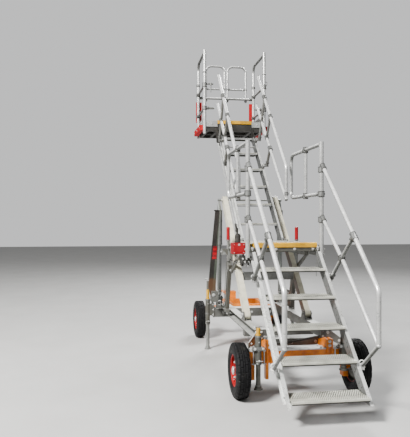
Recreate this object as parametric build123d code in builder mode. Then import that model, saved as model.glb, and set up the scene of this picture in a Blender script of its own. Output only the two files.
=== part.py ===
from build123d import *
import os
from math import sin, cos, atan2, radians, hypot, pi

os.makedirs("parts", exist_ok=True)

# Variable height access platform: a fixed lower stair to a landing, an upper
# stair that swings about the landing's rear edge and rests on the rollers of a
# pair of lift arms, and a work platform at the top that two levelling rods keep
# level, all on a four-wheeled chassis.  Millimetres, +Z up.  +Y is the climbing
# direction.  Lengths along Y are measured from the foot of the lower stair, and
# Y_MID is taken off so that the origin is below the middle of the machine.

Y_MID = 2367.5

# ------------------------------------------------------------ driving sizes
WHEEL_R, TYRE_W, TRACK = 260.5, 142.0, 1164.0
Y_FRONT, Y_REAR = 820.0, 3550.0          # axles
RAIL_X0, RAIL_X1 = 300.0, 385.0          # chassis rails
RAIL_Z0, RAIL_Z1 = 500.0, 600.0
RAIL_Y0, RAIL_Y1 = 1000.0, 2745.0
CROSS_Y0, CROSS_Y1, CROSS_X = 2740.0, 2900.0, 500.0
CROSS_Z0, CROSS_Z1 = 425.0, 535.0

FOOT = (0.0, 147.0)                      # lower flight, foot (y, z)
HEAD = (1210.0, 1340.0)                  # lower flight, head
LOW_X, LOW_FLANGE = 366.0, 32.0          # outer face of the lower stringers
LOW_N0, LOW_N1 = -75.0, 35.0             # their lower and upper edge
LOW_CUT = 160.0                          # height of their level lower end
LAND_Z = 1440.0                          # landing floor
LAND_Y0, LAND_Y1 = 1235.0, 2100.0

PIV_A = (2180.0, 1400.0)                 # upper flight on the landing
FLIGHT_L, FLIGHT_DEG = 2070.0, 45.0
LEVEL_DROP = 52.0                        # levelling rods below A and B
PIV_C = (1555.0, 655.0)                  # lift arms on the chassis
ARM_L, ARM_H = 1840.0, 100.0
UP_X, UP_FLANGE = 259.5, 25.0            # outer face of the upper stringers
UP_DEPTH = 130.0
ARM_X0, ARM_X1 = 310.0, 370.0
BRK_X0, BRK_X1 = 266.0, 278.0            # brackets of the platform
ROD_X0, ROD_X1 = 283.5, 295.5            # levelling rods

PLAT_Z = 3195.0                          # platform floor
FRAME_Z0, FRAME_Z1 = 3040.0, 3165.0      # its underframe
PLAT_Y0, PLAT_Y1 = 3860.0, 4580.0
PLAT_X = 458.0

RAM_X = 415.0
PIV_F = (2840.0, 660.0)                  # foot of the rams
PIN_GAP = 0.05

c45, s45 = cos(radians(FLIGHT_DEG)), sin(radians(FLIGHT_DEG))
PIV_B = (PIV_A[0] + FLIGHT_L * c45, PIV_A[1] + FLIGHT_L * s45)
PIV_D = (PIV_C[0] + ARM_L * c45, PIV_C[1] + ARM_L * s45)
LOW_A = (PIV_A[0], PIV_A[1] - LEVEL_DROP)
LOW_B = (PIV_B[0], PIV_B[1] - LEVEL_DROP)


def at(x, y, z):
    """a point of the machine, with y measured from the foot of the stair"""
    return (x, y - Y_MID, z)


def flight(u, n):
    """a point of the upper flight: u along it from pivot A, n above it"""
    return (PIV_A[0] + u * c45 - n * s45, PIV_A[1] + u * s45 + n * c45)


def box(x0, x1, y0, y1, z0, z1, mode=Mode.ADD):
    with Locations(at((x0 + x1) / 2, (y0 + y1) / 2, (z0 + z1) / 2)):
        Box(abs(x1 - x0), abs(y1 - y0), abs(z1 - z0), mode=mode)


def rod_x(x0, x1, y, z, r, mode=Mode.ADD):
    """a round bar along X"""
    with Locations(Location(at((x0 + x1) / 2, y, z), (0, 90, 0))):
        Cylinder(r, abs(x1 - x0), mode=mode)


def rod_z(x, y, z0, z1, r, mode=Mode.ADD):
    with Locations(at(x, y, (z0 + z1) / 2)):
        Cylinder(r, abs(z1 - z0), mode=mode)


def bar(p, q, r, mode=Mode.ADD):
    """a straight round bar from p to q, both (x, y, z)"""
    a, b = Vector(*at(*p)), Vector(*at(*q))
    with BuildSketch(Plane(origin=a, z_dir=b - a)) as end:
        Circle(r)
    extrude(end.sketch, amount=(b - a).length, mode=mode)


def tube(points, r, bend):
    """a bent round tube through the points"""
    pts = [Vector(*at(*p)) for p in points]
    with BuildLine() as run:
        FilletPolyline(*pts, radius=bend)
    with BuildSketch(Plane(origin=pts[0], z_dir=pts[1] - pts[0])) as end:
        Circle(r)
    sweep(end.sketch, path=run.wire())


def side_plate(x0, x1, pts, mode=Mode.ADD):
    """a flat plate between x0 and x1 with its outline given as (y, z)"""
    lo = min(x0, x1)
    with BuildSketch(Plane.YZ.offset(lo)) as face:
        with BuildLine():
            Polyline(*[(y - Y_MID, z) for y, z in pts], close=True)
        make_face()
    extrude(face.sketch, amount=abs(x1 - x0), mode=mode)


def link(x0, x1, p, q, w, mode=Mode.ADD):
    """a flat link between x0 and x1 from p to q (y, z), round ends, width w"""
    lo = min(x0, x1)
    length = hypot(q[0] - p[0], q[1] - p[1])
    turn = atan2(q[1] - p[1], q[0] - p[0]) * 180 / pi
    mid = ((p[0] + q[0]) / 2 - Y_MID, (p[1] + q[1]) / 2)
    with BuildSketch(Plane.YZ.offset(lo)) as face:
        with Locations(Location((mid[0], mid[1], 0), (0, 0, turn))):
            SlotCenterToCenter(length, w)
    extrude(face.sketch, amount=abs(x1 - x0), mode=mode)


def done(part, name):
    part.label = name
    export_step(part, "parts/" + name + ".step")


SIDES = (-1, 1)

# =============================================================== chassis
with BuildPart() as chassis_frame:
    for s in SIDES:
        # channel rails, open to the outside
        box(s * RAIL_X0, s * (RAIL_X0 + 10), RAIL_Y0, RAIL_Y1, RAIL_Z0, RAIL_Z1)
        box(s * RAIL_X0, s * RAIL_X1, RAIL_Y0, RAIL_Y1, RAIL_Z1 - 10, RAIL_Z1)
        box(s * RAIL_X0, s * RAIL_X1, RAIL_Y0, RAIL_Y1, RAIL_Z0, RAIL_Z0 + 10)
        box(s * (RAIL_X0 - 2), s * (RAIL_X1 + 3), RAIL_Y0 - 8, RAIL_Y0, RAIL_Z0 - 2, RAIL_Z1 + 3)
        # cheeks of the lift arm's pivot
        for x0, x1 in ((300, 306), (374, 380)):
            side_plate(s * x0, s * x1, [(1480, 599), (1630, 599), (1590, 690), (1520, 690)])
        rod_x(s * 295, s * 385, *PIV_C, 15)
        # clevis of the ram on its seat
        box(s * (RAM_X - 40), s * (RAM_X + 40), 2790, 2890, CROSS_Z1 - 1, 600)
        for x0, x1 in ((RAM_X - 36, RAM_X - 24), (RAM_X + 24, RAM_X + 36)):
            side_plate(s * x0, s * x1, [(2795, 595), (2885, 595), (2865, 695), (2815, 695)])
        rod_x(s * (RAM_X - 42), s * (RAM_X + 42), *PIV_F, 12)
        # gusset at the rear corner
        side_plate(s * 383, s * 392, [(2560, 520), (2742, 445), (2742, 600), (2560, 600)])
        box(s * 383, s * 396, 2560, 2741, 590, 600)
        box(s * CROSS_X, s * (CROSS_X + 8), 2730, 2910, 420, 612)
        # seat of the landing's raking leg
        box(s * 384, s * 430, 2290, 2410, 560, 599.5)
        side_plate(s * 384, s * 390, [(2300, 505), (2400, 505), (2400, 565), (2300, 565)])
        # corner plate from the rail's end down to the front axle
        with BuildSketch(Plane(origin=at(s * 345, 1000, 0), x_dir=(s * c45, -c45, 0), z_dir=(-c45, -s * c45, 0))) as corner:
            with BuildLine():
                Polyline((-60, 502), (-60, 599), (10, 612), (196, 505), (196, 455.5), (150, 455.5), (0, 501), close=True)
            make_face()
        extrude(corner.sketch, amount=5, both=True)
        # bracket of the outrigger
        box(s * 480, s * 560, 2615, 2627, 640, 780)
        box(s * 480, s * 560, 2693, 2705, 640, 780)
        box(s * 468, s * 486, 2615, 2705, 560, 780)
        box(s * 384, s * 480, 2615, 2705, 560, 600)
        with Locations(Location(at(s * 530, 2660, 730), (90, 0, 0))):
            Cylinder(11, 92)
    box(-CROSS_X, CROSS_X, CROSS_Y0, CROSS_Y1, CROSS_Z0, CROSS_Z1)
    box(-RAIL_X1, RAIL_X1, 1020, 1100, 430, 501)
    box(-RAIL_X1, RAIL_X1, 1460, 1540, 440, 510)
done(chassis_frame.part, "chassis_frame")

# brackets that carry the front axle
with BuildPart() as front_axle:
    box(-490, 490, Y_FRONT - 45, Y_FRONT + 45, 330, 445)
    box(-330, -300, Y_FRONT - 30, Y_FRONT + 30, 170, 335)
    for s in SIDES:
        box(s * 440, s * 490, Y_FRONT - 40, Y_FRONT + 40, 170, 335)
        rod_x(s * 485, s * 618, Y_FRONT, WHEEL_R, 20)
        for x in (272, 316):
            side_plate(s * x, s * (x + 12), [(Y_FRONT - 62, 318), (Y_FRONT + 60, 318), (1019.5, 430), (1019.5, 496),
                                             (980, 496), (Y_FRONT + 30, 540), (Y_FRONT - 62, 540)])
        box(s * 272, s * 328, 1007.5, 1019.5, 430, 496)
        box(s * 264, s * 330, Y_FRONT - 62, Y_FRONT - 54, 456, 540)
done(front_axle.part, "front_axle")

with BuildPart() as axle_top_plate:
    box(-262, 262, Y_FRONT - 60, Y_FRONT + 60, 445, 455)
    for s in SIDES:
        box(s * 338, s * 490, Y_FRONT - 60, Y_FRONT + 60, 445, 455)
done(axle_top_plate.part, "axle_top_plate")

# frame over the steered axle, with its kingpin
with BuildPart() as slewing_frame:
    for s in SIDES:
        box(s * 200, s * 260, CROSS_Y1 + 0.5, 3460, 457, 560)
        box(s * 110, s * 150, 3400, 3615, 457, 520)
    box(-201, 201, CROSS_Y1 + 0.5, 2940, 457, 560)
    box(-260, 260, 3400, 3460, 457, 560)
    box(-150, 150, Y_REAR - 65, Y_REAR + 65, 457, 500)
    box(-165, -60, 3470, 3585, 499, 660)
    rod_z(0, Y_REAR, 385, 458, 20)
done(slewing_frame.part, "slewing_frame")

# ------------------------------------------------------- landing frame
BEAM_X0, BEAM_X1 = 375.5, 406.5
with BuildPart() as landing_frame:
    box(-373, 373, LAND_Y0, LAND_Y0 + 50, 1362, 1410)
    box(-BEAM_X1, BEAM_X1, 1850, 1890, 1320, 1410)
    box(-264.5, 264.5, 2040, 2080, 1310, 1410)
    for s in SIDES:
        box(s * 224, s * 264.5, 1280, 2080, 1320, 1410)
        box(s * BEAM_X0, s * BEAM_X1, 1278, 2192, 1310, 1410)
        box(s * 330, s * BEAM_X1, 1278, 1288, 1362, 1410)
        # ears for the upper flight and the levelling rods, with their pins
        side_plate(s * 264.5, s * 276.5, [(2030, 1322), (2190, 1322), (2222, 1345), (2228, 1430), (2200, 1458), (2030, 1458)])
        rod_x(s * 231, s * 276.5, *PIV_A, 12)
        rod_x(s * 270, s * 299, *LOW_A, 10)
        # upright with its leg, knee brace and side bracket
        rod_z(s * 425.5, 2170, 1090, 1450, 18)
        side_plate(s * 387, s * 427, [(2130, 1150), (2235, 1150), (2400, 600), (2300, 600)])
        side_plate(s * 380, s * 400, [(1640, 1311), (1700, 1311), (2160, 1105), (2160, 1050), (2135, 1050)])
        box(s * 387, s * 427, 2150, 2190, 1140, 1320)
        box(s * 438, s * 510, 2150, 2190, 1275, 1345)
done(landing_frame.part, "landing_frame")

with BuildPart() as landing_posts:
    for s in SIDES:
        rod_z(s * 425.5, 2170, 1450, 1600, 21)
done(landing_posts.part, "landing_posts")

with BuildPart() as landing_deck:
    box(-366, 366, LAND_Y0 + 61, 1940, 1410, LAND_Z)
    box(-261, 261, 1930, LAND_Y1, 1410, LAND_Z)
done(landing_deck.part, "landing_deck")

with BuildPart() as landing_nosing:
    with BuildSketch(Plane.YZ.offset(-340)) as prof:
        with BuildLine():
            Polyline((LAND_Y0 + 60 - Y_MID, 1447), (LAND_Y0 + 60 - Y_MID, 1410.5), (LAND_Y0 - 0.5 - Y_MID, 1410.5),
                     (LAND_Y0 - 0.5 - Y_MID, 1405), (LAND_Y0 - 12 - Y_MID, 1405), (LAND_Y0 - 12 - Y_MID, 1440))
            ThreePointArc((LAND_Y0 - 12 - Y_MID, 1440), (LAND_Y0 - 6 - Y_MID, 1451), (LAND_Y0 + 6 - Y_MID, 1455))
            Line((LAND_Y0 + 6 - Y_MID, 1455), (LAND_Y0 + 60 - Y_MID, 1447))
        make_face()
    extrude(prof.sketch, amount=680)
done(landing_nosing.part, "landing_nosing")

# ------------------------------------------------------- lower flight
LOW_LEN = hypot(HEAD[0] - FOOT[0], HEAD[1] - FOOT[1])
lu = ((HEAD[0] - FOOT[0]) / LOW_LEN, (HEAD[1] - FOOT[1]) / LOW_LEN)
ln = (-lu[1], lu[0])


def low(u, n):
    """a point of the lower flight: u along it from its foot, n above it"""
    return (FOOT[0] + u * lu[0] + n * ln[0], FOOT[1] + u * lu[1] + n * ln[1])


def low_outline(lo, hi):
    """side outline of a stringer, or of one of its flanges, cut level at its
    foot and upright to the landing at its head"""
    slope = lu[1] / lu[0]

    def on(n, y):
        p = low(0, n)
        return p[1] + (y - p[0]) * slope

    def where(n, z):
        p = low(0, n)
        return (p[0] + (z - p[1]) / slope, z)

    y_cut, z_cut = LAND_Y0 - 0.5, 1360.0

    def end_of(n):
        """where the edge at height n meets the landing's front or its top cut"""
        if on(n, y_cut) <= z_cut:
            return (y_cut, on(n, y_cut))
        return where(n, z_cut)

    a, b = end_of(hi), end_of(lo)
    pts = [where(lo, LOW_CUT), where(hi, LOW_CUT), a]
    if a[0] < y_cut and b[0] >= y_cut:
        pts.append((y_cut, z_cut))
    return pts + [b]


with BuildPart() as lower_stringers:
    for s in SIDES:
        x0 = LOW_X - LOW_FLANGE
        side_plate(s * x0, s * (x0 + 4.5), low_outline(LOW_N0, LOW_N1))
        for n0, n1 in ((LOW_N0, LOW_N0 + 6), (LOW_N1 - 6, LOW_N1)):
            side_plate(s * (x0 + 4), s * LOW_X, low_outline(n0, n1))
done(lower_stringers.part, "lower_stringers")

# treads of the lower flight: front edge y, top z
LOW_TREADS = [(-35.0 + 253.0 * k, 225.0 + 243.0 * k) for k in range(5)]
TREAD_D, TREAD_T, TREAD_X = 240.0, 29.0, 333.0
with BuildPart() as lower_treads:
    for y, z in LOW_TREADS:
        box(-TREAD_X, TREAD_X, y, y + TREAD_D, z - 6, z)
        box(-TREAD_X, TREAD_X, y, y + 6, z - TREAD_T, z)
        box(-TREAD_X, TREAD_X, y + TREAD_D - 6, y + TREAD_D, z - TREAD_T, z)
        for x in (-TREAD_X, -3, TREAD_X - 6):
            box(x, x + 6, y, y + TREAD_D, z - TREAD_T, z)
done(lower_treads.part, "lower_treads")

# ------------------------------------------------------- lower handrails
RAIL_R, LOW_RAIL_X = 21.0, 398.5
for s, name in ((-1, "lower_handrail_left"), (1, "lower_handrail_right")):
    x = s * LOW_RAIL_X
    with BuildPart() as handrail:
        tube([(x, 1198, 2243), (x, -50, 1110), (x, -50, 668)], RAIL_R, 110)
        tube([(x, 1198, 1700), (x, 640, 1267), (x, -50, 650)], RAIL_R * 0.9, 300)
        with Locations(at(x, -50, 655)):
            Sphere(RAIL_R + 1)
        foot = low(1370, -20)
        bar((x, 430, 1547), (x, foot[0], foot[1]), 19)
        toe = low(375, -10)
        bar((x, -50, 655), (x, toe[0], toe[1]), 16)
        # rings at the crossings and the feet on the stringer
        bar((x, 455, 1570 - 12), (x, 405, 1524 - 12), 27)
        for (fy, fz), w in ((foot, 70), (toe, 60)):
            box(s * (LOW_X + 0.3), s * (LOW_RAIL_X + 8), fy - w / 2, fy + w / 2, fz - 22, fz + 22)
    done(handrail.part, name)

# ------------------------------------------------------- guards of the landing
GUARD_X = 397.5
for s, name in ((-1, "landing_guard_left"), (1, "landing_guard_right")):
    x = s * GUARD_X
    with BuildPart() as guard:
        rod_z(x, 1250, 1300, 2516, 24)
        for z in (2222, 1965, 1694):
            rod_z(x, 1250, z - 27, z + 27, 33)
        tube([(x, 1250, 2492), (x, 2290, 2492), (x, 2290, 1965), (x, 1250, 1965)], RAIL_R, 90)
        rod_z(x, 1750, 1965, 2492, 19)
        for z in (2492, 1965):
            rod_z(x, 1750, z - 30, z + 30, 28)
    done(guard.part, name)

# ------------------------------------------------------- control box and pump
with BuildPart() as pump_box:
    box(-545, -412, 1300, 1420, 1335, 1445)
done(pump_box.part, "pump_box")

with BuildPart() as hand_pump:
    rod_z(-480, 1360, 1445.5, 1535, 30)
    bar((-480, 1360, 1530), (-505, 1350, 1640), 11)
    box(-455, -345, 1300, 1400, 1235, 1309)
    box(-411.5, -407, 1300, 1420, 1260, 1440)
done(hand_pump.part, "hand_pump")

# ------------------------------------------------------- jacks
# x, y, foot height, top of the leg, tube bottom, tube top, top of the screw's housing
JACKS = [
    ("front_left", -420.0, 720.0, 100.0, 440.0, 335.0, 607.0, 660.0),
    ("front_right", 420.0, 720.0, 250.0, 590.0, 335.0, 607.0, 660.0),
    ("rear_left", -577.0, 2800.0, 0.0, 430.0, 330.0, 655.0, 890.0),
    ("rear_right", 577.0, 2800.0, 190.0, 620.0, 330.0, 655.0, 890.0),
]
with BuildPart() as jack_tubes:
    for name, x, y, z_foot, z_top, z0, z1, z2 in JACKS:
        rod_z(x, y, z0, z1, 30)
        rod_z(x, y, z1 - 6, z2, 17)
        s = 1 if x > 0 else -1
        if "front" in name:
            # bracket on the face and on the top plate of the axle
            box(x - 25, x + 25, y + 20, Y_FRONT - 45.5, 345, 435)
            box(x - 50, x + 50, y - 5, Y_FRONT - 20, 455.5, 467)
        else:
            box(s * 508.5, x - s * 20, y - 25, y + 25, 440, 590)
        rod_z(x, y, z0 - 1, z1 - 12, 23.05, mode=Mode.SUBTRACT)
done(jack_tubes.part, "jack_tubes")

for name, x, y, z_foot, z_top, z0, z1, z2 in JACKS:
    with BuildPart() as leg:
        rod_z(x, y, z_foot + 8, z_top, 23)
        rod_z(x, y, z_foot, z_foot + 12, 42)
        rod_z(x, y, z_foot + 10, z_foot + 36, 30)
    done(leg.part, "jack_leg_" + name)

# ------------------------------------------------------- outrigger arm
with BuildPart() as outrigger:
    with BuildSketch(Plane.XZ.offset(-(2636 - Y_MID))) as prof:
        with BuildLine():
            Polyline((-567, 735), (-592, 830), (-500, 1815), (-446, 1815), (-498, 830), (-493, 735), close=True)
        make_face()
    extrude(prof.sketch, amount=-48)
    with Locations(Location(at(-530, 2660, 730), (90, 0, 0))):
        Cylinder(37, 48)
    with Locations(Location(at(-530, 2660, 730), (90, 0, 0))):
        Cylinder(11 + PIN_GAP, 60, mode=Mode.SUBTRACT)
    box(-436, -512, 2630, 2690, 1805, 1822)
done(outrigger.part, "outrigger_left")

# ------------------------------------------------------- wheels
# name, side, y
WHEELS = [("front_left", -1, Y_FRONT), ("front_right", 1, Y_FRONT), ("rear_left", -1, Y_REAR), ("rear_right", 1, Y_REAR)]
RIM_R = 150.0
for name, s, y in WHEELS:
    xc = s * TRACK / 2
    with BuildPart() as tyre:
        with BuildSketch(Plane(origin=at(xc, y, WHEEL_R), x_dir=(0, 0, 1), z_dir=(0, -1, 0))) as sec:
            # x: radius, y: along the axle
            with BuildLine():
                w = TYRE_W / 2
                Polyline((RIM_R, -w + 18), (RIM_R, w - 18))
                Line((RIM_R, w - 18), (RIM_R + 14, w - 8))
                ThreePointArc((RIM_R + 14, w - 8), (RIM_R + 52, w), (WHEEL_R - 22, w - 8))
                ThreePointArc((WHEEL_R - 22, w - 8), (WHEEL_R - 6, w - 16), (WHEEL_R - 1.5, w - 30))
                ThreePointArc((WHEEL_R - 1.5, w - 30), (WHEEL_R, 0), (WHEEL_R - 1.5, -w + 30))
                ThreePointArc((WHEEL_R - 1.5, -w + 30), (WHEEL_R - 6, -w + 16), (WHEEL_R - 22, -w + 8))
                ThreePointArc((WHEEL_R - 22, -w + 8), (RIM_R + 52, -w), (RIM_R + 14, -w + 8))
                Line((RIM_R + 14, -w + 8), (RIM_R, -w + 18))
            make_face()
        revolve(sec.sketch, axis=Axis(at(xc, y, WHEEL_R), (1, 0, 0)))
    done(tyre.part, "tyre_" + name)
    with BuildPart() as rim:
        # barrel, disc and hub, one turned piece
        with BuildSketch(Plane(origin=at(xc, y, WHEEL_R), x_dir=(0, 0, 1), z_dir=(0, -1, 0))) as sec:
            o = s                                   # outward along the axle
            with BuildLine():
                Polyline((20 + PIN_GAP, -o * 40), (34, -o * 40), (34, o * 8), (110, o * 18), (128, o * 2), (143, o * 2),
                         (143, -o * 48), (RIM_R - 0.3, -o * 51), (RIM_R - 0.3, o * 51), (143, o * 48), (140, o * 20),
                         (126, o * 14), (110, o * 30), (44, o * 24), (40, o * 58), (20 + PIN_GAP, o * 58), close=True)
            make_face()
        revolve(sec.sketch, axis=Axis(at(xc, y, WHEEL_R), (1, 0, 0)))
    done(rim.part, "rim_" + name)

# ------------------------------------------------------- steered rear axle
with BuildPart() as rear_axle:
    box(-490, 490, Y_REAR - 45, Y_REAR + 45, 330, 445)
    box(-150, 150, Y_REAR - 80, Y_REAR + 80, 440, 452)
    for s in SIDES:
        box(s * 440, s * 490, Y_REAR - 40, Y_REAR + 40, 170, 335)
        rod_x(s * 485, s * 618, Y_REAR, WHEEL_R, 20)
        # ears for the drawbar
        for x0 in (196, 226):
            side_plate(s * x0, s * (x0 + 12), [(Y_REAR + 44, 352), (Y_REAR + 104, 364), (Y_REAR + 118, 390),
                                               (Y_REAR + 104, 414), (Y_REAR + 44, 428)])
        rod_x(s * 190, s * 244, Y_REAR + 92, 390, 10)
    rod_z(0, Y_REAR, 380, 460, 20 + PIN_GAP, mode=Mode.SUBTRACT)
done(rear_axle.part, "rear_axle")

with BuildPart() as drawbar:
    yb = Y_REAR + 92
    for s in SIDES:
        link(s * 208.5, s * 225.5, (yb, 390), (yb + 90, 402), 44)
        bar((s * 217, yb + 80, 400), (s * 20, yb + 620, 450), 19)
        rod_x(s * 205, s * 229, yb, 390, 10 + PIN_GAP, mode=Mode.SUBTRACT)
    bar((-140, yb + 270, 418), (140, yb + 270, 418), 15)
    bar((0, yb + 590, 448), (0, yb + 1080, 493), 24)
    bar((0, yb + 1120, 482), (0, yb + 1120, 512), 48)
    bar((0, yb + 1120, 472), (0, yb + 1120, 522), 20, mode=Mode.SUBTRACT)
done(drawbar.part, "drawbar")

# =============================================================== upper flight
UP_TREADS = [(2350 + 247 * k, 1650 + 250.8 * k) for k in range(5)]
with BuildPart() as upper_stringers:
    h = UP_DEPTH / 2
    xi = UP_X - UP_FLANGE
    for s in SIDES:
        link(s * xi, s * (xi + 4.5), PIV_A, PIV_B, UP_DEPTH)
        for n0, n1 in ((-h, -h + 6), (h - 6, h)):
            a, b, c, d = flight(40, n0), flight(FLIGHT_L - 40, n0), flight(FLIGHT_L - 40, n1), flight(40, n1)
            side_plate(s * (xi + 4), s * UP_X, [a, b, c, d])
        for p in (PIV_A, PIV_B):
            rod_x(s * xi, s * UP_X, *p, 24)
            rod_x(s * (xi - 1), s * (UP_X + 1), *p, 12 + PIN_GAP, mode=Mode.SUBTRACT)
        # pin holes of the treads
        for y, z in UP_TREADS:
            rod_x(s * (xi - 1), s * (xi + 6), y + 110, z - 17, 8 + PIN_GAP, mode=Mode.SUBTRACT)
done(upper_stringers.part, "upper_stringers")

with BuildPart() as flight_tie_bars:
    for u in (75.0, 1985.0):
        y, z = flight(u, -42)
        rod_x(-(UP_X - UP_FLANGE - 0.2), UP_X - UP_FLANGE - 0.2, y, z, 14)
done(flight_tie_bars.part, "flight_tie_bars")

for k, (y, z) in enumerate(UP_TREADS):
    with BuildPart() as tread:
        w = UP_X - UP_FLANGE - 6
        box(-w, w, y, y + 215, z - 6, z)
        box(-w, w, y, y + 6, z - 30, z)
        box(-w, w, y + 209, y + 215, z - 30, z)
        for s in SIDES:
            box(s * (w - 6), s * w, y, y + 215, z - 30, z)
            rod_x(s * (w - 6), s * (w + 10), y + 110, z - 17, 8)
    done(tread.part, "upper_tread_%d" % (k + 1))

UP_RAIL_X = 295.5
for s, name in ((-1, "upper_handrail_left"), (1, "upper_handrail_right")):
    x = s * UP_RAIL_X
    with BuildPart() as handrail:
        tube([(x, 3600, 3822), (x, 2172, 2348), (x, 2165, 1965)], RAIL_R, 100)
        bar((x, 3680, 3420), (x, 2165, 1935), RAIL_R * 0.9)
        with Locations(at(x, 2165, 1950)):
            Sphere(RAIL_R + 1)
        # stanchions: on the rail (y, z) to the flight (u, n)
        for (y, z), (u, n) in (((3205, 3416), (1968, 112)), ((2905, 2662), (1378, 112))):
            fy, fz = flight(u, n)
            bar((x, y, z), (x, fy, fz), 18)
            # foot: a step that stands on the stringer and reaches out
            pl = Plane(origin=at(0, *flight(u - 30, 0)), x_dir=(1, 0, 0), z_dir=(0, c45, s45))
            with BuildSketch(pl) as step:
                lo, hi = UP_X - UP_FLANGE, UP_X
                with Locations((s * (lo + hi) / 2, -(65.2 + 118) / 2)):
                    Rectangle(hi - lo, 118 - 65.2)
                with Locations((s * (lo + UP_RAIL_X + 20) / 2, -(106 + 118) / 2)):
                    Rectangle(UP_RAIL_X + 20 - lo, 12)
            extrude(step.sketch, amount=60)
        bar((x, 2893, 3094), (x, 3085, 2836), 16)
        bar((x, 3230, 3440), (x, 3180, 3389), 27)
        bar((x, 2925, 2680), (x, 2880, 2636), 26)
    done(handrail.part, name)

# rods that keep the platform level
with BuildPart() as levelling_rods:
    for s in SIDES:
        link(s * ROD_X0, s * ROD_X1, LOW_A, LOW_B, 26)
        for p in (LOW_A, LOW_B):
            rod_x(s * ROD_X0, s * ROD_X1, *p, 18)
            rod_x(s * (ROD_X0 - 1), s * (ROD_X1 + 1), *p, 10 + PIN_GAP, mode=Mode.SUBTRACT)
done(levelling_rods.part, "levelling_rods")

# =============================================================== lift arms
ROLLER_R, SHAFT_R = 14.0, 11.0
with BuildPart() as lift_arms:
    for s in SIDES:
        link(s * ARM_X0, s * ARM_X1, PIV_C, PIV_D, ARM_H)
        rod_x(s * (ARM_X0 - 2), s * (ARM_X1 + 2), *PIV_C, 15 + PIN_GAP, mode=Mode.SUBTRACT)
        rod_x(s * (UP_X - 24), s * (UP_X - 1), *PIV_D, ROLLER_R)
        rod_x(s * (ARM_X1 - 2), s * (ARM_X1 + 16), *PIV_D, 16)
    box(-ARM_X0 - 5, ARM_X0 + 5, 1905, 1975, 993, 1087)
    rod_x(-ARM_X0 - 5, ARM_X0 + 5, *PIV_D, SHAFT_R)
done(lift_arms.part, "lift_arms")

# =============================================================== rams
ram_dir = Vector(0, PIV_D[0] - PIV_F[0], PIV_D[1] - PIV_F[1])
RAM_L = ram_dir.length
ram_dir = ram_dir.normalized()


def ram_run(x, a, b, r, mode=Mode.ADD):
    """a round bar along the ram from a to b, measured from its foot pin"""
    o = Vector(*at(x, *PIV_F))
    with BuildSketch(Plane(origin=o + ram_dir * a, x_dir=(1, 0, 0), z_dir=ram_dir)) as end:
        Circle(r)
    extrude(end.sketch, amount=b - a, mode=mode)


with BuildPart() as ram_barrels:
    for s in SIDES:
        x = s * RAM_X
        rod_x(x - 22, x + 22, *PIV_F, 28)
        ram_run(x, 0, 60, 20)
        ram_run(x, 50, 880, 29)
        rod_x(x - 23, x + 23, *PIV_F, 12 + PIN_GAP, mode=Mode.SUBTRACT)
done(ram_barrels.part, "ram_barrels")

with BuildPart() as ram_rods:
    for s in SIDES:
        x = s * RAM_X
        ram_run(x, 708, 1161, 40)
        for a in (706, 1012, 1147):
            ram_run(x, a, a + 16, 43)
        ram_run(x, 700, 1150, 29.6, mode=Mode.SUBTRACT)
        o = Vector(*at(x, *PIV_F))
        with BuildSketch(Plane(origin=o + ram_dir * 1160, x_dir=(1, 0, 0), z_dir=ram_dir)) as lowend:
            Circle(27)
        with BuildSketch(Plane(origin=o + ram_dir * (RAM_L - 6), x_dir=(1, 0, 0), z_dir=ram_dir)) as topend:
            Circle(11)
        loft([lowend.sketch.face(), topend.sketch.face()])
        rod_x(x - 21, x + 21, *PIV_D, 17)
done(ram_rods.part, "ram_rods")

# =============================================================== platform
with BuildPart() as platform_frame:
    for s in SIDES:
        box(s * 396, s * 430, PLAT_Y0 + 6, PLAT_Y1, FRAME_Z0, FRAME_Z1)
        box(s * 240, s * 284, PLAT_Y0 + 6, PLAT_Y1, FRAME_Z0, FRAME_Z1)
        # bracket from the platform to the pins of the upper flight and the levelling rods
        link(s * BRK_X0, s * BRK_X1, LOW_B, PIV_B, 56)
        side_plate(s * BRK_X0, s * BRK_X1, [(PIV_B[0] - 26, PIV_B[1] + 18), (PIV_B[0] + 10, PIV_B[1] - 70),
                                            (3880, 2880), (3900, FRAME_Z0), (3900, 3100), (3880, 3100)])
        rod_x(s * (UP_X - 28), s * BRK_X1, *PIV_B, 12)
        rod_x(s * (BRK_X1 - 6), s * 299, *LOW_B, 10)
        for y0 in (3905, 4470):
            box(s * 428, s * 468.5, y0, y0 + 50, 3070, 3120)
    for y0 in (PLAT_Y0 + 6, 4200, PLAT_Y1 - 40):
        box(-430, 430, y0, y0 + 40, FRAME_Z0, FRAME_Z1)
done(platform_frame.part, "platform_frame")

with BuildPart() as platform_step:
    box(-265.5, 265.5, 3715, 3865, 2919, 2925)
    box(-265.5, 265.5, 3715, 3721, 2895, 2925)
    box(-265.5, 265.5, 3859, 3865, 2895, 2925)
    for s in SIDES:
        box(s * 259.5, s * 265.5, 3715, 3865, 2895, 2925)
done(platform_step.part, "platform_step")

with BuildPart() as platform_deck:
    box(-430, 430, PLAT_Y0 + 56, PLAT_Y1, FRAME_Z1, PLAT_Z)
done(platform_deck.part, "platform_deck")

with BuildPart() as platform_nosing:
    box(-265, 265, PLAT_Y0 - 8, PLAT_Y0 + 5.5, 3155, 3205)
    box(-265, 265, PLAT_Y0 - 8, PLAT_Y0 + 55, FRAME_Z1 + 0.5, 3205)
done(platform_nosing.part, "platform_nosing")

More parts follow.
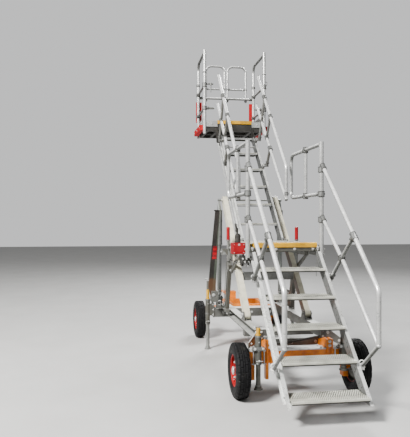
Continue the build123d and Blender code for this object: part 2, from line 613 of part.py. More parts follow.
with BuildPart() as toe_boards:
    for s in SIDES:
        box(s * 431, s * 437, PLAT_Y0 + 30, PLAT_Y1 - 46, 3130, 3290)
        # sill beside the nosing
        box(s * 266, s * 436, PLAT_Y0 - 8, PLAT_Y0 + 5.5, 3107, 3190)
        box(s * 266, s * 429.5, PLAT_Y0 - 8, PLAT_Y0 + 55, FRAME_Z1 + 0.5, 3190)
    box(-431, 431, PLAT_Y1 + 0.5, PLAT_Y1 + 7, 3130, 3290)
done(toe_boards.part, "toe_boards")

POST_X, REAR_Y = 461.5, 4560.0
for s, name in ((-1, "platform_guard_left"), (1, "platform_guard_right")):
    x = s * POST_X
    with BuildPart() as guard:
        rod_z(x, PLAT_Y0, 3000, 4262, 24)
        tube([(x, PLAT_Y0, 4235), (x, REAR_Y, 4235), (x, REAR_Y, 3030)], RAIL_R, 110)
        for z in (3735, 3386):
            bar((x, PLAT_Y0, z), (x, REAR_Y, z), 18)
            rod_z(x, REAR_Y, z - 20, z + 20, 29)
        # short rail towards the stair's handrail
        bar((x, PLAT_Y0, 3386), (s * 330, PLAT_Y0, 3386), 17)
        with Locations(at(s * 330, PLAT_Y0, 3386)):
            Sphere(17.2)
        # feet on the frame
        box(s * 430, s * (POST_X - 18), PLAT_Y0 + 8, PLAT_Y0 + 28, 3045, 3125)
        box(s * 430, s * (POST_X - 16), REAR_Y - 20, REAR_Y + 18, 3045, 3095)
    done(guard.part, name)

# hoops that slide in sleeves on the rear rail: x from, x to
HOOPS = [("guard_hoop_left", -326.0, -17.0), ("guard_hoop_right", 33.0, 342.0)]
HOOP_Y, HOOP_SLEEVE = REAR_Y + 52, 3695.0
with BuildPart() as rear_guard:
    z = HOOP_SLEEVE
    bar((-POST_X + 21.5, REAR_Y, z), (POST_X - 21.5, REAR_Y, z), 19)
    for name, x0, x1 in HOOPS:
        for x in (x0, x1):
            rod_z(x, HOOP_Y, z - 30, z + 30, 23)
            box(x - 14, x + 14, REAR_Y, HOOP_Y - 10, z - 14, z + 14)
            rod_z(x, HOOP_Y, z - 31, z + 31, 16.6, mode=Mode.SUBTRACT)
done(rear_guard.part, "rear_guard")

for name, x0, x1 in HOOPS:
    with BuildPart() as hoop:
        yh = HOOP_Y
        tube([(x0, yh, 3655), (x0, yh, 4238), (x1, yh, 4238), (x1, yh, 3655)], 16, 90)
        bar((x0, yh, 3861), (x1, yh, 3861), 14)
    done(hoop.part, name)

with BuildPart() as bumpers:
    for s in SIDES:
        box(s * 469, s * 533, 3890, 4532, 3058, 3135)
        box(s * 400, s * 492, REAR_Y + 30, REAR_Y + 58, 3295, 3630)
done(bumpers.part, "bumpers")
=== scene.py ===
import bpy, bmesh, math
from mathutils import Vector, Matrix


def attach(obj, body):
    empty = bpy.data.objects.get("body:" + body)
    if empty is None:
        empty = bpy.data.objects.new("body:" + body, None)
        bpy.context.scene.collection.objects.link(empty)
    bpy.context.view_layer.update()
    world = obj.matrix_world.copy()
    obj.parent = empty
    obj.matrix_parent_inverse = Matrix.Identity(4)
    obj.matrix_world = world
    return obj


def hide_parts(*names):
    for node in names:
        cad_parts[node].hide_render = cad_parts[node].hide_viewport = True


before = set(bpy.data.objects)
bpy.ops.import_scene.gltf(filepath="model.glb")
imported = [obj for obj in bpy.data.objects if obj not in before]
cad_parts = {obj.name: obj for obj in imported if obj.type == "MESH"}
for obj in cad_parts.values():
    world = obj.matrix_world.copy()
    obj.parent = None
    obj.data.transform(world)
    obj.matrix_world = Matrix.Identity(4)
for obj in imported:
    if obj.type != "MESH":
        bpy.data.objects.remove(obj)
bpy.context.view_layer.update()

Y_MID = 2.3675           # y of the frame's origin, measured from the foot of the lower stair


def P(x, y, z):
    """a point given with y from the foot of the lower stair"""
    return Vector((x, y - Y_MID, z))


# ------------------------------------------------------------------ camera
# position and direction come from the photo's vanishing point and its symmetric pairs
CAM_TURN = math.radians(8.5)
cam_data = bpy.data.cameras.new("photo_camera")
cam_data.sensor_fit = "VERTICAL"
cam_data.sensor_height = 24.0
cam_data.lens = 540.0 * 24.0 / 437.0
cam_data.shift_y = 2.4 / 437.0
cam_data.clip_start = 0.05
cam_data.clip_end = 200
cam = bpy.data.objects.new("photo_camera", cam_data)
bpy.context.scene.collection.objects.link(cam)
cam.location = P(-1.6616, -4.2107, 1.68)
look = Vector((math.sin(CAM_TURN), math.cos(CAM_TURN), 0))
cam.rotation_euler = look.to_track_quat("-Z", "Y").to_euler()
bpy.context.scene.camera = cam


# ------------------------------------------------------------------ materials
class Mat:
    """a small helper for procedural materials"""

    def __init__(self, name):
        self.m = bpy.data.materials.new(name)
        self.m.use_nodes = True
        self.t = self.m.node_tree
        self.b = [n for n in self.t.nodes if n.type == "BSDF_PRINCIPLED"][0]
        self.co = self.t.nodes.new("ShaderNodeTexCoord").outputs["Object"]

    def new(self, kind, **attrs):
        n = self.t.nodes.new(kind)
        for k, v in attrs.items():
            setattr(n, k, v)
        return n

    def put(self, sock, v):
        if hasattr(v, "is_output"):
            self.t.links.new(v, sock)
        else:
            sock.default_value = v

    def scaled(self, stretch):
        if stretch is None:
            return self.co
        n = self.new("ShaderNodeMapping")
        n.inputs["Scale"].default_value = stretch
        self.t.links.new(self.co, n.inputs["Vector"])
        return n.outputs["Vector"]

    def noise(self, scale, detail=4.0, rough=0.6, stretch=None, distort=0.0):
        n = self.new("ShaderNodeTexNoise")
        self.t.links.new(self.scaled(stretch), n.inputs["Vector"])
        n.inputs["Scale"].default_value = scale
        n.inputs["Detail"].default_value = detail
        n.inputs["Roughness"].default_value = rough
        n.inputs["Distortion"].default_value = distort
        return n.outputs["Fac"]

    def voronoi(self, scale, feature="F1", stretch=None, out="Distance", random=1.0):
        n = self.new("ShaderNodeTexVoronoi", feature=feature)
        self.t.links.new(self.scaled(stretch), n.inputs["Vector"])
        n.inputs["Scale"].default_value = scale
        n.inputs["Randomness"].default_value = random
        return n.outputs[out]

    def ramp(self, fac, stops):
        n = self.new("ShaderNodeValToRGB")
        el = n.color_ramp.elements
        while len(el) < len(stops):
            el.new(0.5)
        for e, (p, c) in zip(el, stops):
            e.position = p
            e.color = (c, c, c, 1) if isinstance(c, (int, float)) else (*c, 1)
        self.put(n.inputs["Fac"], fac)
        return n.outputs["Color"]

    def mix(self, fac, a, b, mode="MIX"):
        n = self.new("ShaderNodeMix", data_type="RGBA", blend_type=mode)
        self.put(n.inputs[0], fac)
        for i, v in ((6, a), (7, b)):
            self.put(n.inputs[i], v if hasattr(v, "is_output") else (*v, 1))
        return n.outputs[2]

    def math(self, op, a, b=0.0, clamp=False):
        n = self.new("ShaderNodeMath", operation=op, use_clamp=clamp)
        self.put(n.inputs[0], a)
        self.put(n.inputs[1], b)
        return n.outputs[0]

    def axis(self, which):
        n = self.new("ShaderNodeSeparateXYZ")
        self.t.links.new(self.co, n.inputs[0])
        return n.outputs[which]

    def facing(self, which, sign):
        """how far the surface faces along an axis, 0 to 1"""
        g = self.new("ShaderNodeNewGeometry")
        n = self.new("ShaderNodeSeparateXYZ")
        self.t.links.new(g.outputs["Normal"], n.inputs[0])
        return self.math("MULTIPLY", n.outputs[which], float(sign), clamp=True)

    def under(self, color, dark, amount):
        """painted shade: undersides are darkened towards the dark colour, as if they saw less sky"""
        f = self.ramp(self.facing("Z", -1), [(0.0, 0.0), (0.45, 1.0)])
        return self.mix(self.math("MULTIPLY", f, amount), color, dark)

    def inner(self):
        """faces that look towards the machine's middle, 0 to 1"""
        side = self.math("SIGN", self.axis("X"))
        g = self.new("ShaderNodeNewGeometry")
        n = self.new("ShaderNodeSeparateXYZ")
        self.t.links.new(g.outputs["Normal"], n.inputs[0])
        f = self.math("MULTIPLY", self.math("MULTIPLY", side, n.outputs["X"]), -1.0, clamp=True)
        return self.ramp(f, [(0.45, 0.0), (0.8, 1.0)])

    def bump(self, height, strength, distance, normal=None):
        n = self.new("ShaderNodeBump")
        n.inputs["Strength"].default_value = strength
        n.inputs["Distance"].default_value = distance
        self.put(n.inputs["Height"], height)
        if normal is not None:
            self.t.links.new(normal, n.inputs["Normal"])
        return n.outputs["Normal"]

    def finish(self, color, rough, normal=None, metallic=0.0, coat=0.0, coat_rough=0.1, spec=0.5):
        i = self.b.inputs
        self.put(i["Base Color"], color)
        self.put(i["Roughness"], rough)
        i["Metallic"].default_value = metallic
        i["Coat Weight"].default_value = coat
        i["Coat Roughness"].default_value = coat_rough
        i["Specular IOR Level"].default_value = spec
        if normal is not None:
            self.t.links.new(normal, i["Normal"])
        return self.m


def aluminium(name, lo=(0.62, 0.63, 0.62), hi=(0.96, 0.965, 0.96), dirt=0.30, metallic=0.50, rough=(0.22, 0.40), under=0.86, inner_shade=0.0, dents=0.10):
    m = Mat(name)
    c = m.ramp(m.noise(5.0, 5, 0.62), [(0.28, lo), (0.56, hi)])
    # painted shade: faces turned towards the machine's middle are darkened nearly to black
    if inner_shade:
        c = m.mix(m.math("MULTIPLY", m.inner(), inner_shade), c, (0.040, 0.044, 0.044))
    grime = m.ramp(m.noise(16.0, 7, 0.7, distort=0.6), [(0.56, 0.0), (0.74, 1.0)])
    c = m.mix(m.math("MULTIPLY", grime, dirt), c, (0.25, 0.24, 0.20))
    fine = m.ramp(m.noise(190.0, 2, 0.5), [(0.35, 0.0), (0.75, 1.0)])
    c = m.mix(m.math("MULTIPLY", fine, 0.14), c, (0.98, 0.98, 0.98))
    # upright faces see less sky than sloping ones
    c = m.mix(m.ramp(m.facing("Z", 1), [(0.0, 0.58), (0.45, 0.0)]), c, (0.18, 0.185, 0.18))
    # painted shade: undersides darkened towards near black
    c = m.under(c, (0.055, 0.058, 0.052), under)
    r = m.ramp(m.noise(24.0, 4, 0.6), [(0.3, rough[0]), (0.7, rough[1])])
    n = m.bump(m.noise(260.0, 3, 0.7), dents, 0.0012)
    n = m.bump(m.ramp(m.voronoi(34.0), [(0.02, 0.0), (0.10, 1.0)]), dents, 0.0008, n)
    return m.finish(c, r, n, metallic=metallic)


def galvanised(name, lo=(0.17, 0.175, 0.17), hi=(0.40, 0.41, 0.40), metallic=0.45, dirt=(0.10, 0.085, 0.06), top=None, under=0.6):
    m = Mat(name)
    c = m.ramp(m.noise(4.0, 6, 0.65), [(0.28, lo), (0.70, hi)])
    g = m.new("ShaderNodeRGBToBW")
    m.t.links.new(m.voronoi(85.0, out="Color"), g.inputs[0])
    c = m.mix(m.math("MULTIPLY", g.outputs[0], 0.16), c, tuple(min(1.0, 1.6 * v) for v in hi))
    # painted light: faces turned upwards are lightened towards the top colour
    if top is not None:
        c = m.mix(m.ramp(m.facing("Z", 1), [(0.5, 0.0), (0.9, 1.0)]), c, top)
    stain = m.ramp(m.noise(11.0, 8, 0.72, stretch=(1.0, 1.0, 0.35), distort=1.0), [(0.50, 0.0), (0.70, 1.0)])
    c = m.mix(m.math("MULTIPLY", stain, 0.55), c, dirt)
    # painted shade: undersides darkened towards a darker version of the dirt colour
    c = m.under(c, tuple(0.4 * v for v in dirt), under)
    r = m.ramp(m.noise(30.0, 5, 0.6), [(0.3, 0.34), (0.72, 0.62)])
    n = m.bump(m.noise(70.0, 5, 0.7), 0.22, 0.002)
    return m.finish(c, r, n, metallic=metallic)


def paint(name, base, deep, chip=(0.16, 0.11, 0.08), chips=0.62, rough=(0.26, 0.5), coat=0.25, scale=9.0, streak=0.4, inner=None):
    m = Mat(name)
    c = m.ramp(m.noise(scale, 6, 0.65), [(0.30, deep), (0.62, base)])
    if inner is not None:
        # painted shade: the sides turned along X by inner's sign are darkened to inner's colour
        c = m.mix(m.ramp(m.facing("X", inner[1]), [(0.4, 0.0), (0.7, 1.0)]), c, inner[0])
    run = m.ramp(m.noise(13.0, 6, 0.7, stretch=(1.0, 1.0, 0.18)), [(0.54, 0.0), (0.74, 1.0)])
    c = m.mix(m.math("MULTIPLY", run, streak), c, tuple(0.35 * v + 0.02 for v in deep))
    worn = m.ramp(m.noise(52.0, 8, 0.75, distort=0.8), [(chips, 0.0), (chips + 0.03, 1.0)])
    c = m.mix(worn, c, chip)
    # painted shade: undersides darkened towards a darker version of the deep colour
    c = m.under(c, tuple(0.25 * v for v in deep), 0.6)
    r = m.mix(worn, m.ramp(m.noise(20.0, 4), [(0.3, rough[0]), (0.7, rough[1])]), (0.8, 0.8, 0.8))
    h = m.math("SUBTRACT", m.math("MULTIPLY", m.noise(120.0, 3), 0.25), worn)
    n = m.bump(h, 0.28, 0.0012)
    return m.finish(c, r, n, coat=0.35 * coat, spec=0.32)


def rubber(name, base=(0.0045, 0.0045, 0.005), dust=(0.045, 0.042, 0.036)):
    m = Mat(name)
    c = m.ramp(m.noise(22.0, 6, 0.7), [(0.35, base), (0.75, tuple(v * 1.9 for v in base))])
    d = m.ramp(m.noise(7.0, 7, 0.72, distort=0.5), [(0.52, 0.0), (0.76, 1.0)])
    c = m.mix(m.math("MULTIPLY", d, 0.45), c, dust)
    r = m.ramp(m.noise(40.0, 4), [(0.3, 0.5), (0.7, 0.8)])
    n = m.bump(m.noise(240.0, 4, 0.7), 0.25, 0.0010)
    return m.finish(c, r, n, spec=0.16)


def tread_metal(name, lo=(0.40, 0.41, 0.37), hi=(0.72, 0.73, 0.68), metallic=0.5):
    m = Mat(name)
    c = m.ramp(m.noise(8.0, 6, 0.65), [(0.30, lo), (0.66, hi)])
    mud = m.ramp(m.noise(19.0, 8, 0.75, distort=0.7), [(0.50, 0.0), (0.70, 1.0)])
    c = m.mix(m.math("MULTIPLY", mud, 0.45), c, (0.22, 0.20, 0.16))
    # painted shade: undersides darkened towards near black
    c = m.under(c, (0.05, 0.05, 0.045), 0.8)
    r = m.ramp(m.noise(30.0, 4), [(0.3, 0.30), (0.7, 0.6)])
    n = m.bump(m.noise(150.0, 4, 0.7), 0.25, 0.0015)
    return m.finish(c, r, n, metallic=metallic)


M = {
    "aluminium": aluminium("aluminium_tube"),
    # painted shade: the stringers' inner faces are darkened nearly to black
    "stringer": aluminium("aluminium_stringer", lo=(0.46, 0.47, 0.45), hi=(0.86, 0.87, 0.85), dirt=0.5, inner_shade=0.86),
    # painted shade and light: the tread and deck tops get a much darker copy of the tread metal, like the shade under
    # the tread above; the front strips and raised dots get lighter copies
    "tread": tread_metal("tread_metal", lo=(0.055, 0.058, 0.045), hi=(0.15, 0.155, 0.13)),
    "strip": tread_metal("tread_front_strip", lo=(0.44, 0.44, 0.38), hi=(0.74, 0.74, 0.65), metallic=0.4),
    "dots": tread_metal("tread_dots", lo=(0.36, 0.365, 0.31), hi=(0.70, 0.70, 0.62), metallic=0.3),
    "galv": galvanised("galvanised_steel", lo=(0.10, 0.105, 0.10), hi=(0.28, 0.285, 0.275)),
    "leg": galvanised("galvanised_leg", lo=(0.045, 0.043, 0.036), hi=(0.13, 0.13, 0.115)),
    "galv_light": galvanised("galvanised_light", lo=(0.40, 0.41, 0.40), hi=(0.66, 0.67, 0.66)),
    # painted light: the chassis's upward faces are lightened by the top colour
    "chassis": galvanised("galvanised_chassis", lo=(0.055, 0.055, 0.05), hi=(0.17, 0.172, 0.16), top=(0.60, 0.61, 0.58)),
    "clamp": galvanised("cast_clamp", lo=(0.075, 0.078, 0.075), hi=(0.24, 0.245, 0.24), metallic=0.55, dirt=(0.08, 0.075, 0.06)),
    "zinc": galvanised("zinc_bolt", lo=(0.42, 0.43, 0.42), hi=(0.72, 0.73, 0.72), metallic=0.7, under=0.3),
    "dark": galvanised("dark_steel", lo=(0.012, 0.012, 0.011), hi=(0.042, 0.040, 0.036), metallic=0.2, dirt=(0.035, 0.028, 0.020)),
    "outrigger": None,
    "cream": paint("cream_paint", (0.68, 0.65, 0.52), (0.50, 0.47, 0.35), chip=(0.30, 0.28, 0.22), chips=0.66, coat=0.1, streak=0.5),
    "orange": paint("orange_paint", (0.80, 0.22, 0.004), (0.46, 0.10, 0.004), chips=0.60, streak=0.8),
    "yellow": paint("yellow_paint", (0.60, 0.33, 0.012), (0.38, 0.18, 0.006), chips=0.64),
    "red": paint("red_paint", (0.31, 0.002, 0.007), (0.19, 0.0015, 0.005), chip=(0.12, 0.02, 0.02), chips=0.70),
    "dark_red": paint("dark_red_paint", (0.15, 0.004, 0.008), (0.07, 0.003, 0.005), chips=0.66),
    "rim": paint("rim_paint", (0.44, 0.004, 0.007), (0.26, 0.003, 0.005), chips=0.64),
    "white": paint("white_paint", (0.86, 0.86, 0.83), (0.70, 0.70, 0.66), chips=0.64),
    "rubber": rubber("tyre_rubber"),
    "buffer": rubber("red_buffer", base=(0.26, 0.003, 0.006), dust=(0.20, 0.03, 0.028)),
    "ram": aluminium("ram_steel", lo=(0.20, 0.22, 0.205), hi=(0.33, 0.35, 0.335), dirt=0.12, metallic=0.65, rough=(0.26, 0.34), dents=0.02),
    "tube_steel": aluminium("pipe_steel", lo=(0.30, 0.30, 0.29), hi=(0.55, 0.55, 0.54), dirt=0.5, metallic=0.8),
}
# the folded arm: nearly black, with a grey-green edge lower down and a rusty tip
m = Mat("outrigger_steel")
left = m.math("ADD", m.math("MULTIPLY", m.axis("Z"), 0.0934), -0.6695)
across = m.math("SUBTRACT", m.axis("X"), left)
wob = m.math("MULTIPLY", m.noise(9.0, 5, 0.7), 0.02)
edge = m.ramp(m.math("ADD", across, wob), [(0.060, 0.0), (0.068, 1.0)])
c = m.ramp(m.noise(5.0, 6, 0.65), [(0.3, (0.007, 0.006, 0.0055)), (0.7, (0.024, 0.020, 0.018))])
c = m.mix(edge, c, m.ramp(m.noise(6.0, 6), [(0.3, (0.030, 0.036, 0.028)), (0.7, (0.085, 0.10, 0.078))]))
low = m.ramp(m.math("ADD", m.axis("Z"), m.math("MULTIPLY", m.noise(7.0, 4), 0.1)), [(0.96, 1.0), (1.0, 0.0)])
c = m.mix(m.math("MULTIPLY", low, 0.6), c, (0.11, 0.050, 0.018))
# painted shade: undersides darkened towards near black
M["outrigger"] = m.finish(m.under(c, (0.01, 0.01, 0.01), 0.5), m.ramp(m.noise(30.0, 5), [(0.3, 0.35), (0.7, 0.65)]),
                          m.bump(m.noise(70.0, 5, 0.7), 0.25, 0.002), metallic=0.2)
# painted shade: a copy of the cream paint with its -X faces darkened, for the right arm's side towards the stair
cream_shaded_side = paint("cream_paint_shaded_side", (0.68, 0.65, 0.52), (0.50, 0.47, 0.35), chip=(0.30, 0.28, 0.22), chips=0.66, coat=0.1,
                   streak=0.5, inner=((0.075, 0.05, 0.035), -1))

NODE_MAT = {
    "chassis_frame": "chassis", "front_axle": "orange", "axle_top_plate": "galv_light", "landing_frame": "galv",
    "landing_posts": "red", "landing_deck": "tread", "landing_nosing": "yellow", "lower_stringers": "stringer",
    "lower_treads": "tread", "pump_box": "red", "hand_pump": "dark", "jack_tubes": "leg", "outrigger_left": "outrigger",
    "slewing_frame": "orange", "rear_axle": "orange", "drawbar": "orange", "upper_stringers": "stringer",
    "flight_tie_bars": "galv_light", "levelling_rods": "galv_light", "lift_arms": "cream", "ram_barrels": "ram",
    "ram_rods": "ram", "platform_frame": "dark", "platform_deck": "tread", "platform_step": "tread",
    "platform_nosing": "yellow", "toe_boards": "stringer", "bumpers": "buffer",
}
for name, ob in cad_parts.items():
    key = NODE_MAT.get(name)
    if key is None:
        if name.startswith("tyre"):
            key = "rubber"
        elif name.startswith("rim"):
            key = "rim"
        elif name.startswith("jack_leg"):
            key = "leg" if "front" in name else "galv"
        elif name.startswith("upper_tread"):
            key = "tread"
        else:
            key = "aluminium"
    ob.data.materials.clear()
    ob.data.materials.append(M[key])
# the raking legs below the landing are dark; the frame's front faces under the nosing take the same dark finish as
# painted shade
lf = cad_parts["landing_frame"].data
lf.materials.append(M["leg"])
for f in lf.polygons:
    if (f.center.z < 1.175 and abs(f.center.x) > 0.378) or (f.center.z > 1.30 and f.normal.y < -0.6):
        f.material_index = 1
# the braces between the two rails of each upper handrail are dark
for side in ("left", "right"):
    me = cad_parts["upper_handrail_" + side].data
    me.materials.append(M["galv"])
    for f in me.polygons:
        off = []
        for (ya, za), (yb, zb) in (((2.172, 2.348), (3.600, 3.822)), ((2.165, 1.935), (3.680, 3.420))):
            yy, zz = f.center.y + Y_MID - ya, f.center.z - za
            n = math.hypot(yb - ya, zb - za)
            off.append(abs(yy * (zb - za) - zz * (yb - ya)) / n)
        if min(off) > 0.034 and f.center.y + Y_MID > 2.23:
            f.material_index = 1
# so are the short rails beside the platform's front posts
for side in ("left", "right"):
    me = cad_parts["platform_guard_" + side].data
    me.materials.append(M["galv"])
    for f in me.polygons:
        if abs(f.center.x) < 0.436 and f.center.y + Y_MID < 3.90 and f.center.z < 3.9:
            f.material_index = 1
# the inner half of each rim carries old, dark dirt
for name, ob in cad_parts.items():
    if name.startswith("rim"):
        ob.data.materials.append(M["leg"])
        for f in ob.data.polygons:
            if abs(f.center.x) < 0.583 and f.normal.x * f.center.x < 0.3 * abs(f.center.x):
                f.material_index = 1
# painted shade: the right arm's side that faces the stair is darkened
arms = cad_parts["lift_arms"].data
arms.materials.append(cream_shaded_side)
arms.materials.append(M["galv"])
for f in arms.polygons:
    if abs(f.center.x) < 0.309:
        f.material_index = 2
    elif f.center.x > 0.2:
        f.material_index = 1


# ------------------------------------------------------------------ small shapes
class Build:
    """many small shapes joined in one mesh that rides on a body"""

    def __init__(self, name, body, mat):
        self.name, self.body, self.mat = name, body, mat
        self.v, self.f, self.s = [], [], []

    def rings(self, rings, smooth=None, cap=True):
        """rings: lists of points, each joined to the next; smooth: one flag per band"""
        n = len(rings[0])
        for i in range(len(rings) - 1):
            b = len(self.v)
            self.v += rings[i] + rings[i + 1]
            for k in range(n):
                q = (k + 1) % n
                self.f.append((b + k, b + q, b + n + q, b + n + k))
                self.s.append(True if smooth is None else smooth[i])
        if cap:
            for r, turn in ((rings[0], -1), (rings[-1], 1)):
                b = len(self.v)
                self.v += r
                ids = list(range(b, b + n))
                self.f.append(tuple(ids[::turn]))
                self.s.append(False)

    def rod(self, a, b, r, seg=20, ch=0.0015, r2=None):
        """a round bar from a to b with chamfered ends"""
        a, b = Vector(a), Vector(b)
        d = (b - a)
        length = d.length
        d.normalize()
        u = d.orthogonal().normalized()
        w = d.cross(u)
        r2 = r if r2 is None else r2
        ch = min(ch, 0.4 * length, 0.5 * min(r, r2))
        path = [(0, r - ch), (ch, r), (length - ch, r2), (length, r2 - ch)]

        def ring(h, q):
            return [a + d * h + (u * math.cos(t) + w * math.sin(t)) * q for t in (2 * math.pi * k / seg for k in range(seg))]

        self.rings([ring(h, q) for h, q in path], [True, True, True])

    def prism(self, a, b, r, sides=6, ch=0.0008):
        """a straight prism, such as a bolt head"""
        a, b = Vector(a), Vector(b)
        d = (b - a)
        length = d.length
        d.normalize()
        u = d.orthogonal().normalized()
        w = d.cross(u)

        def ring(h, q):
            return [a + d * h + (u * math.cos(t) + w * math.sin(t)) * q for t in (2 * math.pi * k / sides for k in range(sides))]

        self.rings([ring(0, r), ring(length - ch, r), ring(length, r - ch)], [False, False])

    def bolt(self, p, axis, af=0.019, head=0.009, washer=True):
        """a hexagon head on its washer, standing on p along axis"""
        p, axis = Vector(p), Vector(axis).normalized()
        h = 0.0
        if washer:
            self.rod(p - axis * 0.001, p + axis * 0.002, af * 0.92, 18, 0.0004)
            h = 0.002
        self.prism(p + axis * h, p + axis * (h + head), af / 2 / math.cos(math.pi / 6))
        self.rod(p + axis * (h + head - 0.001), p + axis * (h + head + 0.004), af * 0.27, 12, 0.0008)

    def slab(self, c, size, ch=0.0015, turn=None):
        """a block with chamfered edges: centre, full sizes, optional rotation"""
        c = Vector(c)
        hx, hy, hz = (s / 2 for s in size)
        ch = min(ch, 0.45 * min(hx, hy, hz) * 2)
        turn = Matrix.Identity(3) if turn is None else turn

        def ring(z, e):
            x, y = hx - e, hy - e
            pts = [(x, -y + ch), (x, y - ch), (x - ch, y), (-x + ch, y), (-x, y - ch), (-x, -y + ch), (-x + ch, -y), (x - ch, -y)]
            return [c + turn @ Vector((px, py, z)) for px, py in pts]

        self.rings([ring(-hz, ch), ring(-hz + ch, 0), ring(hz - ch, 0), ring(hz, ch)], [False] * 3)

    def dome(self, p, axis, r, h, seg=20, steps=5):
        p, axis = Vector(p), Vector(axis).normalized()
        u = axis.orthogonal().normalized()
        w = axis.cross(u)
        rings = []
        for i in range(steps + 1):
            a = (math.pi / 2) * i / (steps + 0.35)
            q, hh = r * math.cos(a), h * math.sin(a)
            rings.append([p + axis * hh + (u * math.cos(t) + w * math.sin(t)) * q for t in (2 * math.pi * k / seg for k in range(seg))])
        self.rings(rings)

    def weld(self, a, b, r=0.003):
        """a rippled bead"""
        a, b = Vector(a), Vector(b)
        d = b - a
        n = max(4, int(d.length / 0.004))
        d.normalize()
        u = d.orthogonal().normalized()
        w = d.cross(u)
        step = (b - a).length / n
        rings = []
        for i in range(n + 1):
            q = r * (1.0 if i % 2 else 0.78)
            rings.append([a + d * (i * step) + (u * math.cos(t) + w * math.sin(t)) * q for t in (2 * math.pi * k / 7 for k in range(7))])
        self.rings(rings)

    def arc(self, c, u, w, R, r, a0, a1, n=20, seg=10):
        """part of a ring of wire: centre, two directions of its plane, radii, angles"""
        c, u, w = Vector(c), Vector(u).normalized(), Vector(w).normalized()
        k = u.cross(w)
        rings = []
        for i in range(n + 1):
            a = a0 + (a1 - a0) * i / n
            e = u * math.cos(a) + w * math.sin(a)
            o = c + e * R
            rings.append([o + (e * math.cos(t) + k * math.sin(t)) * r for t in (2 * math.pi * j / seg for j in range(seg))])
        self.rings(rings)

    def run(self, pts, r, bend=0.03, seg=10):
        """a bent pipe through the points"""
        pts = [Vector(p) for p in pts]
        path = [pts[0]]
        for i in range(1, len(pts) - 1):
            p, a, b = pts[i], (pts[i - 1] - pts[i]), (pts[i + 1] - pts[i])
            e = min(bend, 0.45 * a.length, 0.45 * b.length)
            p0, p1 = p + a.normalized() * e, p + b.normalized() * e
            for k in range(7):
                t = k / 6
                path.append(p0 * (1 - t) ** 2 + p * 2 * t * (1 - t) + p1 * t * t)
        path.append(pts[-1])
        ref = Vector((0.31, 0.52, 0.79)).normalized()
        rings = []
        for i, p in enumerate(path):
            d = (path[min(i + 1, len(path) - 1)] - path[max(i - 1, 0)]).normalized()
            u = d.cross(ref).normalized()
            w = d.cross(u)
            rings.append([p + (u * math.cos(t) + w * math.sin(t)) * r for t in (2 * math.pi * k / seg for k in range(seg))])
        self.rings(rings)

    def end(self):
        me = bpy.data.meshes.new(self.name)
        me.from_pydata([tuple(p) for p in self.v], [], self.f)
        me.polygons.foreach_set("use_smooth", self.s)
        me.update()
        bm = bmesh.new()
        bm.from_mesh(me)
        bmesh.ops.recalc_face_normals(bm, faces=bm.faces)
        bm.to_mesh(me)
        bm.free()
        ob = bpy.data.objects.new(self.name, me)
        bpy.context.scene.collection.objects.link(ob)
        me.materials.append(M[self.mat])
        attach(ob, self.body)
        return ob


def studs(name, body, x0, x1, y0, y1, z, pitch, r=0.0036, h=0.0016, mat="dots", tilt=0.0):
    """raised studs of a tread plate, in staggered rows"""
    v, f = [], []
    rows = max(2, int(round((y1 - y0) / pitch)))
    cols = max(2, int(round((x1 - x0) / pitch)))
    for j in range(rows):
        y = y0 + (j + 0.5) * (y1 - y0) / rows
        for i in range(cols):
            x = x0 + (i + (0.25 if j % 2 else 0.75)) * (x1 - x0) / cols
            b = len(v)
            for q, hh in ((r, 0.0), (r * 0.55, h)):
                for a in (0, 90, 180, 270):
                    t = math.radians(a)
                    v.append(P(x + q * math.cos(t), y + q * math.sin(t), z + hh))
            f += [(b + k, b + (k + 1) % 4, b + 4 + (k + 1) % 4, b + 4 + k) for k in range(4)]
            f.append((b + 4, b + 5, b + 6, b + 7))
    me = bpy.data.meshes.new(name)
    me.from_pydata([tuple(p) for p in v], [], f)
    me.update()
    ob = bpy.data.objects.new(name, me)
    bpy.context.scene.collection.objects.link(ob)
    me.materials.append(M[mat])
    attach(ob, body)


X, Y, Z = Vector((1, 0, 0)), Vector((0, 1, 0)), Vector((0, 0, 1))
SIDES = (-1, 1)
BOLT = Build("base_bolts", "base", "zinc")
CLAMP = Build("base_clamps", "base", "clamp")
WELD = Build("base_welds", "base", "galv")


ENDS = {}


def sleeve(B, a, b, r, screws=1, toward=None):
    """a cast sleeve with rolled ends and its grub screws"""
    if B.body not in ENDS:
        ENDS[B.body] = Build(B.body + "_clamp_ends", B.body, "dark")
    a, b = Vector(a), Vector(b)
    d = (b - a).normalized()
    B.rod(a, b, r, 24, 0.0025)
    for e in (a + d * 0.004, b - d * 0.004):
        ENDS[B.body].rod(e - d * 0.003, e + d * 0.003, r + 0.0022, 24, 0.001)
    t = Vector(toward) if toward is not None else d.orthogonal()
    t = (t - d * t.dot(d)).normalized()
    for k in range(screws):
        c = a + (b - a) * ((k + 1) / (screws + 1))
        B.rod(c + t * (r - 0.004), c + t * (r + 0.006), 0.008, 12, 0.001)


